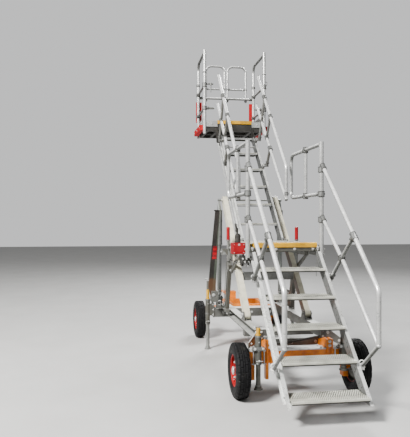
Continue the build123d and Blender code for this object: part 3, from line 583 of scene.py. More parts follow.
# ------------------------------------------------------------------ guards of the landing
low_rail = (P(0, 1.198, 2.243) - P(0, -0.05, 1.11)).normalized()
mid_rail = (P(0, 1.198, 1.70) - P(0, 0.64, 1.267)).normalized()
for s in SIDES:
    x = s * 0.3975
    for z in (2.222, 1.965, 1.694):
        sleeve(CLAMP, P(x, 1.25, z - 0.030), P(x, 1.25, z + 0.030), 0.0347, 1, -Y if z != 1.965 else X * s)
    CLAMP.dome(P(x, 1.25, 2.5155), Z, 0.0238, 0.003, 24, 3)
    WELD.arc(P(x, 1.2735, 2.492), X, Z, 0.0215, 0.0022, 0, 2 * math.pi, 28, 7)
    sleeve(CLAMP, P(x, 1.280, 1.965), P(x, 1.322, 1.965), 0.0262, 1, X * s)
    for z in (2.492, 1.965):
        sleeve(CLAMP, P(x, 1.75, z - 0.034), P(x, 1.75, z + 0.034), 0.0293, 0)
        sleeve(CLAMP, P(x, 1.708, z), P(x, 1.792, z), 0.0258, 2, X * s)
    # sockets that take the lower handrail's two tubes
    x = s * 0.3985
    for e, d, r in ((P(x, 1.198, 2.243), low_rail, 0.0262), (P(x, 1.198, 1.70), mid_rail, 0.0238)):
        sleeve(CLAMP, e - d * 0.045, e + d * 0.040, r, 1, X * s)
    # bolts at the foot of the post
    for z in (1.33, 1.385):
        BOLT.bolt(P(s * 0.4216, 1.25, z), X * s, 0.017, 0.008)
# ------------------------------------------------------------------ lower handrails
for s in SIDES:
    x = s * 0.3985
    sleeve(CLAMP, P(x, 0.4625, 1.5650), P(x, 0.3975, 1.5052), 0.0287, 2, X * s)
    cross = P(x, 0.7096, 1.321)
    sleeve(CLAMP, cross - mid_rail * 0.032, cross + mid_rail * 0.032, 0.0245, 1, X * s)
    leg = (P(x, 0.9896, 1.0947) - P(x, 0.430, 1.547)).normalized()
    sleeve(CLAMP, cross - leg * 0.030, cross + leg * 0.030, 0.0240, 1, X * s)
    top = P(x, 0.430, 1.547)
    sleeve(CLAMP, top + leg * 0.020, top + leg * 0.066, 0.0235, 1, X * s)
    sleeve(CLAMP, P(x, 0.9896, 1.0947) - leg * 0.085, P(x, 0.9896, 1.0947) - leg * 0.020, 0.0240, 1, X * s)
    # U-bolts and their plate at the two feet
    for name, c, w in (("head", P(x, 0.9896, 1.0947), 0.070), ("toe", P(x, 0.2741, 0.4032), 0.060)):
        B = Build("rail_foot_%s_%s" % (name, "left" if s < 0 else "right"), "base", "white" if name == "toe" else "zinc")
        o = s * 0.4075 - x
        for dy in (-0.018, 0.018):
            B.rod(c + Vector((o, dy, 0.0)) - X * s * 0.045, c + Vector((o, dy, 0.0)) + X * s * 0.008, 0.0055, 12)
            B.bolt(c + Vector((o, dy, 0.0)), X * s, 0.017, 0.009)
        B.slab(c + Vector((o, 0, 0)), (0.005, w + 0.006, 0.048), 0.0015)
        B.arc(c + Vector((0.0, 0, 0.030)), X, Z, 0.0235, 0.0055, 0, math.pi, 16)
        B.end()
# ------------------------------------------------------------------ lower stair
for k in range(5):
    y, z = -0.035 + 0.253 * k, 0.225 + 0.243 * k
    studs("lower_tread_%d_studs" % (k + 1), "base", -0.325, 0.325, y + 0.082, y + 0.238, z, 0.0200, 0.0068, 0.0026)
    # the front strip's studs take the darker tread finish: painted shade
    studs("lower_tread_%d_edge_studs" % (k + 1), "base", -0.328, 0.328, y + 0.004, y + 0.076, z + 0.0022, 0.0180, 0.0052, 0.0022, "tread")
    # the strip takes the lighter copy of the tread metal: painted light
    B = Build("lower_tread_%d_nose" % (k + 1), "base", "strip")
    # rounded front strip with a turned-down front edge
    prof = [(-0.0022, -0.019), (-0.0042, -0.016), (-0.0042, -0.0015), (-0.0022, 0.0012), (0.002, 0.0022), (0.076, 0.0022), (0.0785, 0.0002)]
    B.rings([[P(xx, y + py, z + pz) for py, pz in prof + [(0.0785, -0.0008), (-0.0005, -0.0008), (-0.0005, -0.019)]]
             for xx in (-0.3325, 0.3325)], [False])
    B.end()
    # painted shadow: a thin dark slab along the foot of each tread's front
    B = Build("lower_tread_%d_lip" % (k + 1), "base", "dark")
    B.slab(P(0, y - 0.0012, z - 0.0245), (0.664, 0.0022, 0.0085), 0.0004)
    B.end()
    for s in SIDES:
        for dy in (0.055, 0.120, 0.185):
            BOLT.bolt(P(s * 0.3385, y + dy, z - 0.015), X * s, 0.017, 0.008)
# welds and bolts at the stringers' upper ends
for s in SIDES:
    WELD.weld(P(s * 0.336, 1.2335, 1.10), P(s * 0.336, 1.2335, 1.36), 0.0028)
    BOLT.bolt(P(s * 0.352, 1.2338, 1.395), -Y, 0.017, 0.008)
    BOLT.bolt(P(s * 0.352, 1.2338, 1.375), -Y, 0.014, 0.006, False)
# ------------------------------------------------------------------ landing
studs("landing_studs", "base", -0.360, 0.360, 1.300, 1.936, 1.440, 0.0200, 0.0064, 0.0022)
studs("landing_rear_studs", "base", -0.256, 0.256, 1.942, 2.096, 1.440, 0.0200, 0.0064, 0.0022)
B = Build("nosing_ribs", "base", "yellow")
for k in range(5):
    yy = 1.246 + 0.0098 * k
    zz = 1.4550 - (yy - 1.241) * 0.148
    B.slab(P(0, yy, zz), (0.672, 0.0034, 0.0030), 0.0010)
B.end()
for s in SIDES:
    for yy in (1.34, 1.60, 1.95, 2.12):
        BOLT.bolt(P(s * 0.4065, yy, 1.360), X * s, 0.019, 0.009)
    for yy in (2.06, 2.15):
        BOLT.bolt(P(s * 0.2765, yy, 1.425), X * s, 0.017, 0.008)
        BOLT.bolt(P(s * 0.2765, yy, 1.355), X * s, 0.017, 0.008)
    for yy, zz in ((2.16, 1.12), (2.20, 1.08), (2.36, 0.66)):
        BOLT.bolt(P(s * 0.427, yy + 0.01, zz), X * s, 0.019, 0.009)
    for yy, zz in ((1.68, 1.299), (2.145, 1.088)):
        BOLT.bolt(P(s * 0.400, yy, zz), X * s, 0.019, 0.009)
    for dy in (-0.012, 0.012):
        BOLT.bolt(P(s * 0.510, 2.17 + dy, 1.31), X * s, 0.014, 0.007, False)
    WELD.weld(P(s * 0.388, 2.150, 1.152), P(s * 0.388, 2.233, 1.152), 0.003)
    WELD.weld(P(s * 0.440, 2.152, 1.2745), P(s * 0.440, 2.188, 1.2745), 0.003)
    B = Build("red_post_cap_%s" % ("left" if s < 0 else "right"), "base", "red")
    B.dome(P(s * 0.4255, 2.17, 1.600), Z, 0.0213, 0.009)
    for zz in (1.46, 1.585):
        B.rod(P(s * 0.4255, 2.17, zz - 0.004), P(s * 0.4255, 2.17, zz + 0.004), 0.0222, 24)
    B.end()
    CLAMP.rod(P(s * 0.4255, 2.17, 1.440), P(s * 0.4255, 2.17, 1.452), 0.0245, 24)
for xx in (-0.30, -0.10, 0.10, 0.30):
    BOLT.bolt(P(xx, 1.2348, 1.386), -Y, 0.017, 0.008)
    BOLT.bolt(P(xx, 1.869, 1.3195), -Z, 0.017, 0.008)
# ------------------------------------------------------------------ pump
B = Build("pump_box_trim", "base", "red")
B.slab(P(-0.4785, 1.360, 1.4475), (0.137, 0.124, 0.006), 0.0015)
B.slab(P(-0.4785, 1.2992, 1.390), (0.110, 0.003, 0.085), 0.001)
B.end()
B = Build("pump_fittings", "base", "zinc")
B.slab(P(-0.4785, 1.2965, 1.432), (0.020, 0.006, 0.022), 0.0015)
for xx in (-0.530, -0.428):
    for zz in (1.348, 1.433):
        B.bolt(P(xx, 1.2995, zz), -Y, 0.009, 0.004, False)
for xx, zz in ((-0.44, 1.285), (-0.40, 1.285), (-0.36, 1.285), (-0.42, 1.255), (-0.375, 1.255)):
    B.prism(P(xx, 1.300, zz), P(xx, 1.285, zz), 0.009)
    B.rod(P(xx, 1.286, zz), P(xx, 1.272, zz), 0.0055, 12)
B.end()
B = Build("pump_head", "base", "dark")
B.rod(P(-0.48, 1.36, 1.534), P(-0.48, 1.36, 1.548), 0.021, 24)
B.rod(P(-0.48, 1.36, 1.452), P(-0.48, 1.36, 1.460), 0.0335, 24)
B.rod(P(-0.48, 1.36, 1.512), P(-0.48, 1.36, 1.520), 0.0325, 24)
B.slab(P(-0.4915, 1.355, 1.585), (0.030, 0.020, 0.040), 0.002)
B.dome(P(-0.505, 1.350, 1.640), Z, 0.015, 0.014)
B.rod(P(-0.440, 1.340, 1.235), P(-0.440, 1.340, 1.205), 0.012, 16)
B.rod(P(-0.370, 1.340, 1.235), P(-0.370, 1.340, 1.212), 0.010, 16)
B.end()
# pipes from the valve block down the leg and along the rail to the rams' feet
B = Build("hydraulic_pipes", "base", "tube_steel")
for k in range(2):
    o = 0.013 * k
    B.run([P(-0.420 + 0.045 * k, 1.300, 1.255), P(-0.420 + 0.045 * k, 1.262, 1.255), P(-0.420 + 0.045 * k, 1.262, 1.222 - o),
           P(-0.4135 - o, 1.30, 1.222 - o), P(-0.4135 - o, 2.118, 1.222 - o), P(-0.4345 - o, 2.160 + o, 1.19), P(-0.4345 - o, 2.345, 0.625),
           P(-0.4345 - o, 2.440, 0.617 + o), P(-0.4345 - o, 2.600, 0.617 + o), P(-0.4345 - o, 2.770, 0.6155 + o)], 0.0045, 0.04)
B.end()
B = Build("pipe_clips", "base", "dark")
for yy in (1.45, 1.80, 2.05):
    B.slab(P(-0.4150, yy, 1.2165), (0.036, 0.022, 0.030), 0.002)
    B.slab(P(-0.4150, yy, 1.270), (0.006, 0.020, 0.090), 0.001)
B.slab(P(-0.4385, 2.50, 0.6135), (0.040, 0.022, 0.028), 0.002)
B.slab(P(-0.4385, 2.765, 0.6115), (0.046, 0.030, 0.034), 0.002)
B.end()
# ------------------------------------------------------------------ chassis
for s in SIDES:
    for xx in (0.318, 0.367):
        for zz in (0.520, 0.580):
            BOLT.bolt(P(s * xx, 0.9918, zz), -Y, 0.014, 0.007)
    # pin ends of the arm's pivot and of the ram's clevis
    for xx, p, r in ((0.385, (1.555, 0.655), 0.017), (0.457, (2.840, 0.660), 0.014)):
        BOLT.rod(P(s * (xx - 0.003), *p), P(s * (xx + 0.004), *p), r * 1.5, 24)
        BOLT.prism(P(s * (xx + 0.003), *p), P(s * (xx + 0.015), *p), r * 1.15)
    BOLT.rod(P(s * 0.373, 2.84, 0.66), P(s * 0.369, 2.84, 0.66), 0.020, 24)
    for y0 in (1.482, 1.628):
        WELD.weld(P(s * 0.380, 1.482, 0.601), P(s * 0.380, 1.628, 0.601), 0.003)
    WELD.weld(P(s * 0.379, 2.797, 0.601), P(s * 0.379, 2.883, 0.601), 0.003)
    WELD.weld(P(s * 0.451, 2.797, 0.601), P(s * 0.451, 2.883, 0.601), 0.003)
    WELD.weld(P(s * 0.385, 2.292, 0.601), P(s * 0.385, 2.408, 0.601), 0.003)
    WELD.weld(P(s * 0.320, 2.7395, 0.500), P(s * 0.385, 2.7395, 0.500), 0.003)
    WELD.weld(P(s * 0.3925, 2.58, 0.518), P(s * 0.3925, 2.735, 0.4535), 0.003)
    for yy, zz in ((2.62, 0.555), (2.69, 0.555), (2.69, 0.500)):
        BOLT.bolt(P(s * 0.392, yy, zz), X * s, 0.017, 0.008)
    for zz in (0.455, 0.520, 0.585):
        BOLT.bolt(P(s * 0.508, 2.755, zz), X * s, 0.019, 0.009)
        BOLT.bolt(P(s * 0.508, 2.885, zz), X * s, 0.019, 0.009)
    for yy in (2.635, 2.685):
        BOLT.bolt(P(s * 0.4675, yy, 0.735), -X * s, 0.017, 0.008)
    for yy in (2.6148, 2.7052):
        BOLT.bolt(P(s * 0.53, yy, 0.73), Y * (1 if yy > 2.66 else -1), 0.024, 0.011)
    # front axle: plate bolts, U-bolts over the beam, welds of the drop legs
    for xx in (0.352, 0.455):
        for yy in (0.775, 0.865):
            BOLT.bolt(P(s * xx, yy, 0.455), Z, 0.019, 0.010)
            BOLT.rod(P(s * xx, yy - 0.0125 * (1 if yy < 0.82 else -1), 0.452), P(s * xx, yy - 0.0125 * (1 if yy < 0.82 else -1), 0.318), 0.006, 10)
    for xx in (0.352, 0.455):
        BOLT.slab(P(s * xx, 0.82, 0.3255), (0.030, 0.118, 0.008), 0.001)
    for yy in (0.775, 0.865):
        BOLT.bolt(P(s * 0.212, yy, 0.455), Z, 0.019, 0.010)
    for zz in (0.480, 0.518):
        BOLT.bolt(P(s * 0.297, 0.758, zz), -Y, 0.017, 0.008)
    turn = Matrix.Rotation(-s * math.pi / 4, 3, "Z")
    for u, zz in ((0.030, 0.560), (0.150, 0.492)):
        c = P(s * (0.345 + u * 0.7071), 1.000 - u * 0.7071, zz)
        n = Vector((-s * 0.7071, -0.7071, 0))
        BOLT.bolt(c + n * 0.005, n, 0.017, 0.008)
    WELD.weld(P(s * 0.439, 0.780, 0.329), P(s * 0.439, 0.860, 0.329), 0.0035)
for xx in (-0.25, 0.0, 0.25):
    BOLT.bolt(P(xx, 1.0198, 0.465), -Y, 0.017, 0.008)
    BOLT.bolt(P(xx, 2.7398, 0.480), -Y, 0.019, 0.009)
    BOLT.bolt(P(xx, 1.50, 0.510), Z, 0.017, 0.008)
B = Build("tie_rod", "base", "dark")
B.run([P(-0.270, 1.0195, 0.452), P(-0.235, 0.985, 0.455), P(-0.064, 0.980, 0.470), P(0.257, 0.980, 0.520), P(0.268, 0.996, 0.521)], 0.011, 0.03, 14)
B.rod(P(-0.064, 0.98, 0.470), P(-0.010, 0.98, 0.4785), 0.016, 16)
B.end()
# orange frame over the steered axle
OR = Build("slewing_bolts", "base", "zinc")
for s in SIDES:
    for yy in (2.93, 3.43):
        OR.bolt(P(s * 0.260, yy, 0.508), X * s, 0.019, 0.009)
    OR.bolt(P(s * 0.13, 3.50, 0.520), Z, 0.019, 0.009)
    OR.bolt(P(s * 0.13, 3.60, 0.520), Z, 0.019, 0.009)
OR.rod(P(0, 3.55, 0.500), P(0, 3.55, 0.506), 0.045, 28)
OR.prism(P(0, 3.55, 0.505), P(0, 3.55, 0.527), 0.030)
OR.rod(P(0, 3.55, 0.526), P(0, 3.55, 0.534), 0.016, 16)
for zz in (0.55, 0.62):
    OR.bolt(P(-0.165, 3.528, zz), -X, 0.017, 0.008)
OR.end()
B = Build("slewing_welds", "base", "orange")
for s in SIDES:
    B.weld(P(s * 0.1995, 2.941, 0.458), P(s * 0.1995, 2.941, 0.558), 0.0035)
    B.weld(P(s * 0.201, 3.400, 0.561), P(s * 0.259, 3.400, 0.561), 0.0035)
    B.weld(P(s * 0.110, 3.462, 0.521), P(s * 0.150, 3.462, 0.521), 0.0035)
B.end()
# ------------------------------------------------------------------ steered axle and drawbar
B = Build("rear_axle_fittings", "steered_axle", "zinc")
for s in SIDES:
    for xx in (0.186, 0.2435):
        B.rod(P(s * xx, 3.642, 0.39), P(s * (xx + 0.004), 3.642, 0.39), 0.017, 20)
    B.prism(P(s * 0.247, 3.642, 0.39), P(s * 0.258, 3.642, 0.39), 0.012)
    for yy in (3.49, 3.61):
        B.bolt(P(s * 0.125, yy, 0.440), -Z, 0.014, 0.006)
    B.bolt(P(s * 0.465, 3.595, 0.25), Y, 0.019, 0.009)
    B.bolt(P(s * 0.465, 3.510, 0.25), -Y, 0.019, 0.009)
B.end()
B = Build("rear_axle_welds", "steered_axle", "orange")
for s in SIDES:
    B.weld(P(s * 0.439, 3.512, 0.329), P(s * 0.439, 3.588, 0.329), 0.0035)
    for xx in (0.1955, 0.2385):
        B.weld(P(s * xx, 3.5955, 0.356), P(s * xx, 3.5955, 0.424), 0.003)
B.end()
B = Build("drawbar_fittings", "drawbar", "zinc")
for s in SIDES:
    for xx in (0.2075,):
        B.rod(P(s * 0.2080, 3.642, 0.39), P(s * 0.2260, 3.642, 0.39), 0.0235, 24)
B.rod(P(0, 4.7, 0.4955), P(0, 4.706, 0.4957), 0.030, 20)
B.arc(P(0, 4.762, 0.497), X, Y, 0.0485, 0.004, 0, 2 * math.pi, 40)
B.end()
B = Build("drawbar_welds", "drawbar", "orange")
for s in SIDES:
    B.weld(P(s * 0.2085, 3.722, 0.424), P(s * 0.2255, 3.722, 0.424), 0.003)
B.weld(P(-0.022, 4.235, 0.470), P(0.022, 4.235, 0.470), 0.004)
B.arc(P(-0.139, 3.912, 0.418), Y, Z, 0.0165, 0.003, 0, 2 * math.pi, 20)
B.arc(P(0.139, 3.912, 0.418), Y, Z, 0.0165, 0.003, 0, 2 * math.pi, 20)
B.end()
# ------------------------------------------------------------------ jacks
# x, y, foot, top of the leg, tube bottom, tube top, top of the screw's housing
JACKS = [("front_left", -0.420, 0.720, 0.100, 0.335, 0.607, 0.660), ("front_right", 0.420, 0.720, 0.250, 0.335, 0.607, 0.660),
         ("rear_left", -0.577, 2.800, 0.0, 0.330, 0.655, 0.890), ("rear_right", 0.577, 2.800, 0.190, 0.330, 0.655, 0.890)]
for name, x, y, foot, z0, z1, z2 in JACKS:
    front = "front" in name
    # collars, grease nipple and locking screw on the fixed tube
    for zz in (z1 - 0.0130, z1 - 0.0060, z0 + 0.0040, z0 + 0.0100, z0 + 0.0160, z0 + 0.1280, z0 + 0.1350, z0 + 0.1420):
        CLAMP.arc(P(x, y, zz), X, Y, 0.0305, 0.0038, 0, 2 * math.pi, 28, 8)
    BOLT.rod(P(x, y - 0.028, z0 + 0.040), P(x, y - 0.052, z0 + 0.040), 0.008, 16)
    BOLT.rod(P(x - 0.026, y - 0.050, z0 + 0.040), P(x + 0.026, y - 0.050, z0 + 0.040), 0.0045, 12)
    for e in (-1, 1):
        BOLT.dome(P(x + e * 0.026, y - 0.050, z0 + 0.040), X * e, 0.0065, 0.006, 12)
    BOLT.prism(P(x, y - 0.029, z1 - 0.060), P(x, y - 0.036, z1 - 0.060), 0.006)
    BOLT.dome(P(x, y - 0.036, z1 - 0.060), -Y, 0.003, 0.005, 10)
    if front:
        for e in (-1, 1):
            BOLT.bolt(P(x + e * 0.040, y + 0.058, 0.467), Z, 0.017, 0.009)
            BOLT.rod(P(x + e * 0.040, y + 0.012, 0.486), P(x + e * 0.040, y - 0.010, 0.486), 0.006, 12)
        CLAMP.slab(P(x, y - 0.033, 0.486), (0.104, 0.006, 0.030), 0.0015)
        for e in (-1, 1):
            CLAMP.slab(P(x + e * 0.0500, y - 0.008, 0.486), (0.006, 0.056, 0.030), 0.0015)
            BOLT.bolt(P(x + e * 0.040, y - 0.036, 0.486), -Y, 0.014, 0.007)
    B = Build("jack_cap_" + name, "base", "yellow")
    B.rod(P(x, y, z1 + 0.003), P(x, y, min(z2 + 0.018, z1 + 0.125)), 0.0205, 24, 0.003)
    B.rod(P(x, y, z1 + 0.0005), P(x, y, z1 + 0.010), 0.0270, 24)
    B.end()
    B = Build("jack_handle_" + name, "base", "zinc")
    h = z2 + 0.018
    B.rod(P(x, y, h - 0.001), P(x, y, h + 0.016), 0.0085, 16)
    B.rod(P(x - 0.036, y - 0.016, h + 0.009), P(x + 0.036, y + 0.016, h + 0.009), 0.0045, 12)
    B.dome(P(x - 0.036, y - 0.016, h + 0.009), Vector((-0.036, -0.016, 0)), 0.0075, 0.007, 14)
    B.dome(P(x + 0.036, y + 0.016, h + 0.009), Vector((0.036, 0.016, 0)), 0.0075, 0.007, 14)
    B.end()
    B = Build("jack_foot_rings_" + name, "jack_" + name, "galv")
    B.rod(P(x, y, foot + 0.0115), P(x, y, foot + 0.0145), 0.038, 24)
    B.rod(P(x, y, foot + 0.0355), P(x, y, foot + 0.0420), 0.0265, 24)
    n = int((z0 - foot - 0.055) / 0.012)
    for k in range(max(0, n)):
        zz = foot + 0.048 + 0.012 * k
        B.rod(P(x, y, zz), P(x, y, zz + 0.003), 0.02296, 20, 0.0003)
    B.end()
# ------------------------------------------------------------------ outrigger arm


def arm_edge(z):
    t = (z - 0.830) / 0.985
    return -0.592 + 0.092 * t, -0.498 + 0.052 * t


BANDS = (1.190, 1.218, 1.246, 1.274, 1.302, 1.330, 1.357)
for name, mat, start in (("red", "red", 0), ("dark", "dark_red", 1)):
    B = Build("outrigger_strips_" + name, "outrigger_left", mat)
    for z0, z1 in list(zip(BANDS, BANDS[1:]))[start::2]:
        a, b = arm_edge((z0 + z1) / 2)
        B.slab(P((a + b) / 2, 2.6350, (z0 + z1) / 2), (b - a - 0.022, 0.0022, z1 - z0), 0.0004)
    B.end()
B = Build("outrigger_fittings", "outrigger_left", "zinc")
B.rod(P(-0.53, 2.6345, 0.73), P(-0.53, 2.6365, 0.73), 0.030, 24)
B.rod(P(-0.53, 2.6835, 0.73), P(-0.53, 2.6855, 0.73), 0.030, 24)
for xx in (-0.500, -0.450):
    B.bolt(P(xx, 2.6595, 1.822), Z, 0.014, 0.007)
B.end()
# ------------------------------------------------------------------ wheels
WHEEL_R, HALF_W, RIM_R = 0.2605, 0.071, 0.150
WHEELS = [("front_left", -1, 0.820), ("front_right", 1, 0.820), ("rear_left", -1, 3.550), ("rear_right", 1, 3.550)]


def profile():
    """(radius, along the axle, kind) round the tyre: bead, sidewall, shoulder, tread"""
    half = [(RIM_R + 0.0004, HALF_W - 0.018, 0), (RIM_R + 0.006, HALF_W - 0.012, 0), (RIM_R + 0.014, HALF_W - 0.008, 0),
            (RIM_R + 0.017, HALF_W - 0.0075, 0), (RIM_R + 0.020, HALF_W - 0.0045, 0), (RIM_R + 0.034, HALF_W - 0.0015, 0),
            (RIM_R + 0.050, HALF_W - 0.0006, 0), (RIM_R + 0.053, HALF_W - 0.0022, 0), (RIM_R + 0.056, HALF_W - 0.0008, 0),
            (WHEEL_R - 0.040, HALF_W - 0.0022, 0), (WHEEL_R - 0.028, HALF_W - 0.0052, 1), (WHEEL_R - 0.018, HALF_W - 0.0090, 1),
            (WHEEL_R - 0.009, HALF_W - 0.0135, 2), (WHEEL_R - 0.0035, HALF_W - 0.0200, 2), (WHEEL_R - 0.0020, HALF_W - 0.0270, 2)]
    mid = [(WHEEL_R - 0.0016, 0.0410, 2), (WHEEL_R - 0.0095, 0.0395, 3), (WHEEL_R - 0.0095, 0.0345, 3), (WHEEL_R - 0.0010, 0.0330, 4),
           (WHEEL_R - 0.0004, 0.0220, 4), (WHEEL_R - 0.0002, 0.0130, 4), (WHEEL_R - 0.0090, 0.0118, 3), (WHEEL_R - 0.0090, 0.0072, 3),
           (WHEEL_R - 0.0001, 0.0060, 5), (WHEEL_R, 0.0, 5)]
    pts = half + mid
    return pts + [(r, -a, k) for r, a, k in reversed(pts[:-1])]


def tyre(name, s, y):
    seg = 216
    prof = profile()
    v, f = [], []
    xc = s * 0.582
    for j in range(seg):
        a = 2 * math.pi * j / seg
        for i, (r, ax, kind) in enumerate(prof):
            side = 1 if ax > 0 else -1
            q = r
            if kind in (1, 2):                  # shoulder blocks
                if (j + (0 if side > 0 else 4)) % 9 in (0, 1):
                    q = r - (0.0065 if kind == 2 else 0.0025)
            elif kind == 4:                     # blocks between the grooves
                if (j + (3 if side > 0 else 6)) % 9 in (0,):
                    q = r - 0.0060
            elif kind == 5:
                if j % 12 == 0:
                    q = r - 0.0030
            v.append(P(xc + ax, y + q * math.sin(a), WHEEL_R + q * math.cos(a)))
    n = len(prof)
    for j in range(seg):
        k = (j + 1) % seg
        for i in range(n - 1):
            f.append((j * n + i, j * n + i + 1, k * n + i + 1, k * n + i))
        f.append((j * n + n - 1, j * n, k * n, k * n + n - 1))
    me = bpy.data.meshes.new("tyre_tread_" + name)
    me.from_pydata([tuple(p) for p in v], [], f)
    bm = bmesh.new()
    bm.from_mesh(me)
    bmesh.ops.recalc_face_normals(bm, faces=bm.faces)
    for e in bm.edges:
        if len(e.link_faces) == 2 and e.calc_face_angle(0) > math.radians(32):
            e.smooth = False
    for face in bm.faces:
        face.smooth = True
    bm.to_mesh(me)
    bm.free()
    ob = bpy.data.objects.new("tyre_tread_" + name, me)
    bpy.context.scene.collection.objects.link(ob)
    me.materials.append(M["rubber"])
    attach(ob, "wheel_" + name)
    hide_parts("tyre_" + name)


for name, s, y in WHEELS:
    tyre(name, s, y)
    xc = s * 0.582
    B = Build("wheel_nuts_" + name, "wheel_" + name, "zinc")
    for k in range(5):
        a = 2 * math.pi * (k + 0.25) / 5
        p = P(xc + s * 0.0268, y + 0.076 * math.sin(a), WHEEL_R + 0.076 * math.cos(a))
        B.rod(p - X * s * 0.003, p + X * s * 0.003, 0.0145, 18, 0.001)
        B.prism(p + X * s * 0.002, p + X * s * 0.016, 0.0110)
        B.rod(p + X * s * 0.015, p + X * s * 0.021, 0.0055, 12)
    B.rod(P(xc + s * 0.056, y, WHEEL_R), P(xc + s * 0.060, y, WHEEL_R), 0.041, 28)
    B.dome(P(xc + s * 0.0598, y, WHEEL_R), X * s, 0.034, 0.010, 28, 6)
    # valve
    a = 2.6
    B.rod(P(xc + s * 0.018, y + 0.132 * math.sin(a), WHEEL_R + 0.132 * math.cos(a)),
          P(xc + s * 0.046, y + 0.124 * math.sin(a), WHEEL_R + 0.124 * math.cos(a)), 0.004, 12)
    B.end()
    B = Build("rim_beads_" + name, "wheel_" + name, "rim")
    for ax in (0.0505, -0.0505):
        B.arc(P(xc + ax, y, WHEEL_R), Y, Z, 0.1495, 0.0028, 0, 2 * math.pi, 72, 8)
    B.arc(P(xc + s * 0.0300, y, WHEEL_R), Y, Z, 0.104, 0.0030, 0, 2 * math.pi, 60, 8)
    for k in range(10):
        a = 2 * math.pi * k / 10
        c = P(xc + s * 0.0195, y + 0.1205 * math.sin(a), WHEEL_R + 0.1205 * math.cos(a))
        B.arc(c, Y, Z, 0.0105, 0.0022, 0, 2 * math.pi, 16, 6)
    B.end()
    B = Build("rim_slots_" + name, "wheel_" + name, "dark")
    for k in range(10):
        a = 2 * math.pi * k / 10
        c = P(xc + s * 0.0180, y + 0.1205 * math.sin(a), WHEEL_R + 0.1205 * math.cos(a))
        B.rod(c, c + X * s * 0.0022, 0.0098, 16, 0.0004)
    B.end()
# ------------------------------------------------------------------ upper flight
FB = Build("flight_bolts", "upper_flight", "zinc")
FC = Build("flight_clamps", "upper_flight", "clamp")
c45 = math.sqrt(0.5)


def F(x, u, n):
    return P(x, 2.180 + (u - n) * c45, 1.400 + (u + n) * c45)


AL = Vector((0, c45, c45))
NO = Vector((0, -c45, c45))
top_rail = (P(0, 3.600, 3.822) - P(0, 2.172, 2.348)).normalized()
low_line = (P(0, 3.680, 3.420) - P(0, 2.165, 1.935)).normalized()
for s in SIDES:
    x = s * 0.2955
    sleeve(FC, P(x, 3.2345, 3.4446), P(x, 3.1755, 3.3844), 0.0287, 2, X * s)
    sleeve(FC, P(x, 2.9290, 2.6840), P(x, 2.8760, 2.6320), 0.0277, 2, X * s)
    for c, d, r in ((P(x, 2.893, 3.0925), top_rail, 0.0255), (P(x, 3.085, 2.8368), low_line, 0.0240), (P(x, 3.3654, 3.1117), low_line, 0.0240)):
        sleeve(FC, c - d * 0.030, c + d * 0.030, r, 1, X * s)
    brace = (P(x, 3.085, 2.836) - P(x, 2.893, 3.094)).normalized()
    sleeve(FC, P(x, 2.893, 3.094) + brace * 0.016, P(x, 2.893, 3.094) + brace * 0.062, 0.0200, 0)
    sleeve(FC, P(x, 3.085, 2.836) - brace * 0.058, P(x, 3.085, 2.836) - brace * 0.014, 0.0200, 0)
    for foot, head in ((F(x, 1.968, 0.112), P(x, 3.205, 3.416)), (F(x, 1.378, 0.112), P(x, 2.905, 2.662))):
        d = (head - foot).normalized()
        sleeve(FC, foot + d * 0.006, foot + d * 0.058, 0.0228, 1, X * s)
    for u in (1.968, 1.378):
        for xx in (0.247, 0.309):
            for du in (-0.018, 0.018):
                if xx == 0.247:
                    FB.bolt(F(s * xx, u + du, 0.118), NO, 0.014, 0.007)
        FB.bolt(F(s * 0.2595, u, 0.090), X * s, 0.014, 0.006, False)
    # plugs in the open ends
    for e, d, r in ((P(x, 3.600, 3.822), top_rail, 0.0214), (P(x, 3.680, 3.420), low_line, 0.0193)):
        FC.rod(e - d * 0.010, e + d * 0.003, r, 24, 0.0015)
    sleeve(FC, P(x, 2.165, 1.990), P(x, 2.1655, 2.030), 0.0238, 1, X * s)
    for k in range(5):
        y, z = 2.350 + 0.247 * k + 0.110, 1.650 + 0.2508 * k - 0.017
        FB.rod(P(s * 0.2390, y, z), P(s * 0.2415, y, z), 0.015, 20)
        FB.prism(P(s * 0.2412, y, z), P(s * 0.2500, y, z), 0.0105)
    for p in ((2.180, 1.400), (3.6437, 2.8637)):
        FB.rod(P(s * 0.2595, *p), P(s * 0.2618, *p), 0.021, 24)
    for u in (0.075, 1.985):
        FB.bolt(F(s * 0.239, u, -0.042), X * s, 0.017, 0.008)
    FB.weld(F(s * 0.2392, 0.42, 0.0588), F(s * 0.2392, 1.60, 0.0588), 0.0016)
FB.end()
FC.end()
for k in range(5):
    y, z = 2.350 + 0.247 * k, 1.650 + 0.2508 * k
    body = "tread_%d" % (k + 1)
    studs("upper_tread_%d_studs" % (k + 1), body, -0.2245, 0.2245, y + 0.032, y + 0.213, z, 0.0200, 0.0066, 0.0024)
    # the front edge's studs take the darker tread finish: painted shade
    studs("upper_tread_%d_edge_studs" % (k + 1), body, -0.2245, 0.2245, y + 0.004, y + 0.029, z + 0.0018, 0.0125, 0.0042, 0.0018, "tread")
    # the nose takes the lighter copy of the tread metal: painted light
    B = Build("upper_tread_%d_nose" % (k + 1), body, "strip")
    prof = [(-0.0020, -0.012), (-0.0030, -0.009), (-0.0030, -0.0015), (-0.0015, 0.0010), (0.002, 0.0018), (0.0285, 0.0018), (0.0300, 0.0002),
            (0.0300, -0.0008), (-0.0005, -0.0008), (-0.0005, -0.012)]
    B.rings([[P(xx, y + py, z + pz) for py, pz in prof] for xx in (-0.2275, 0.2275)], [False])
    B.end()
    B = Build("upper_tread_%d_lip" % (k + 1), body, "aluminium")
    B.slab(P(0, y - 0.0011, z - 0.0215), (0.455, 0.0020, 0.0160), 0.0004)
    B.end()
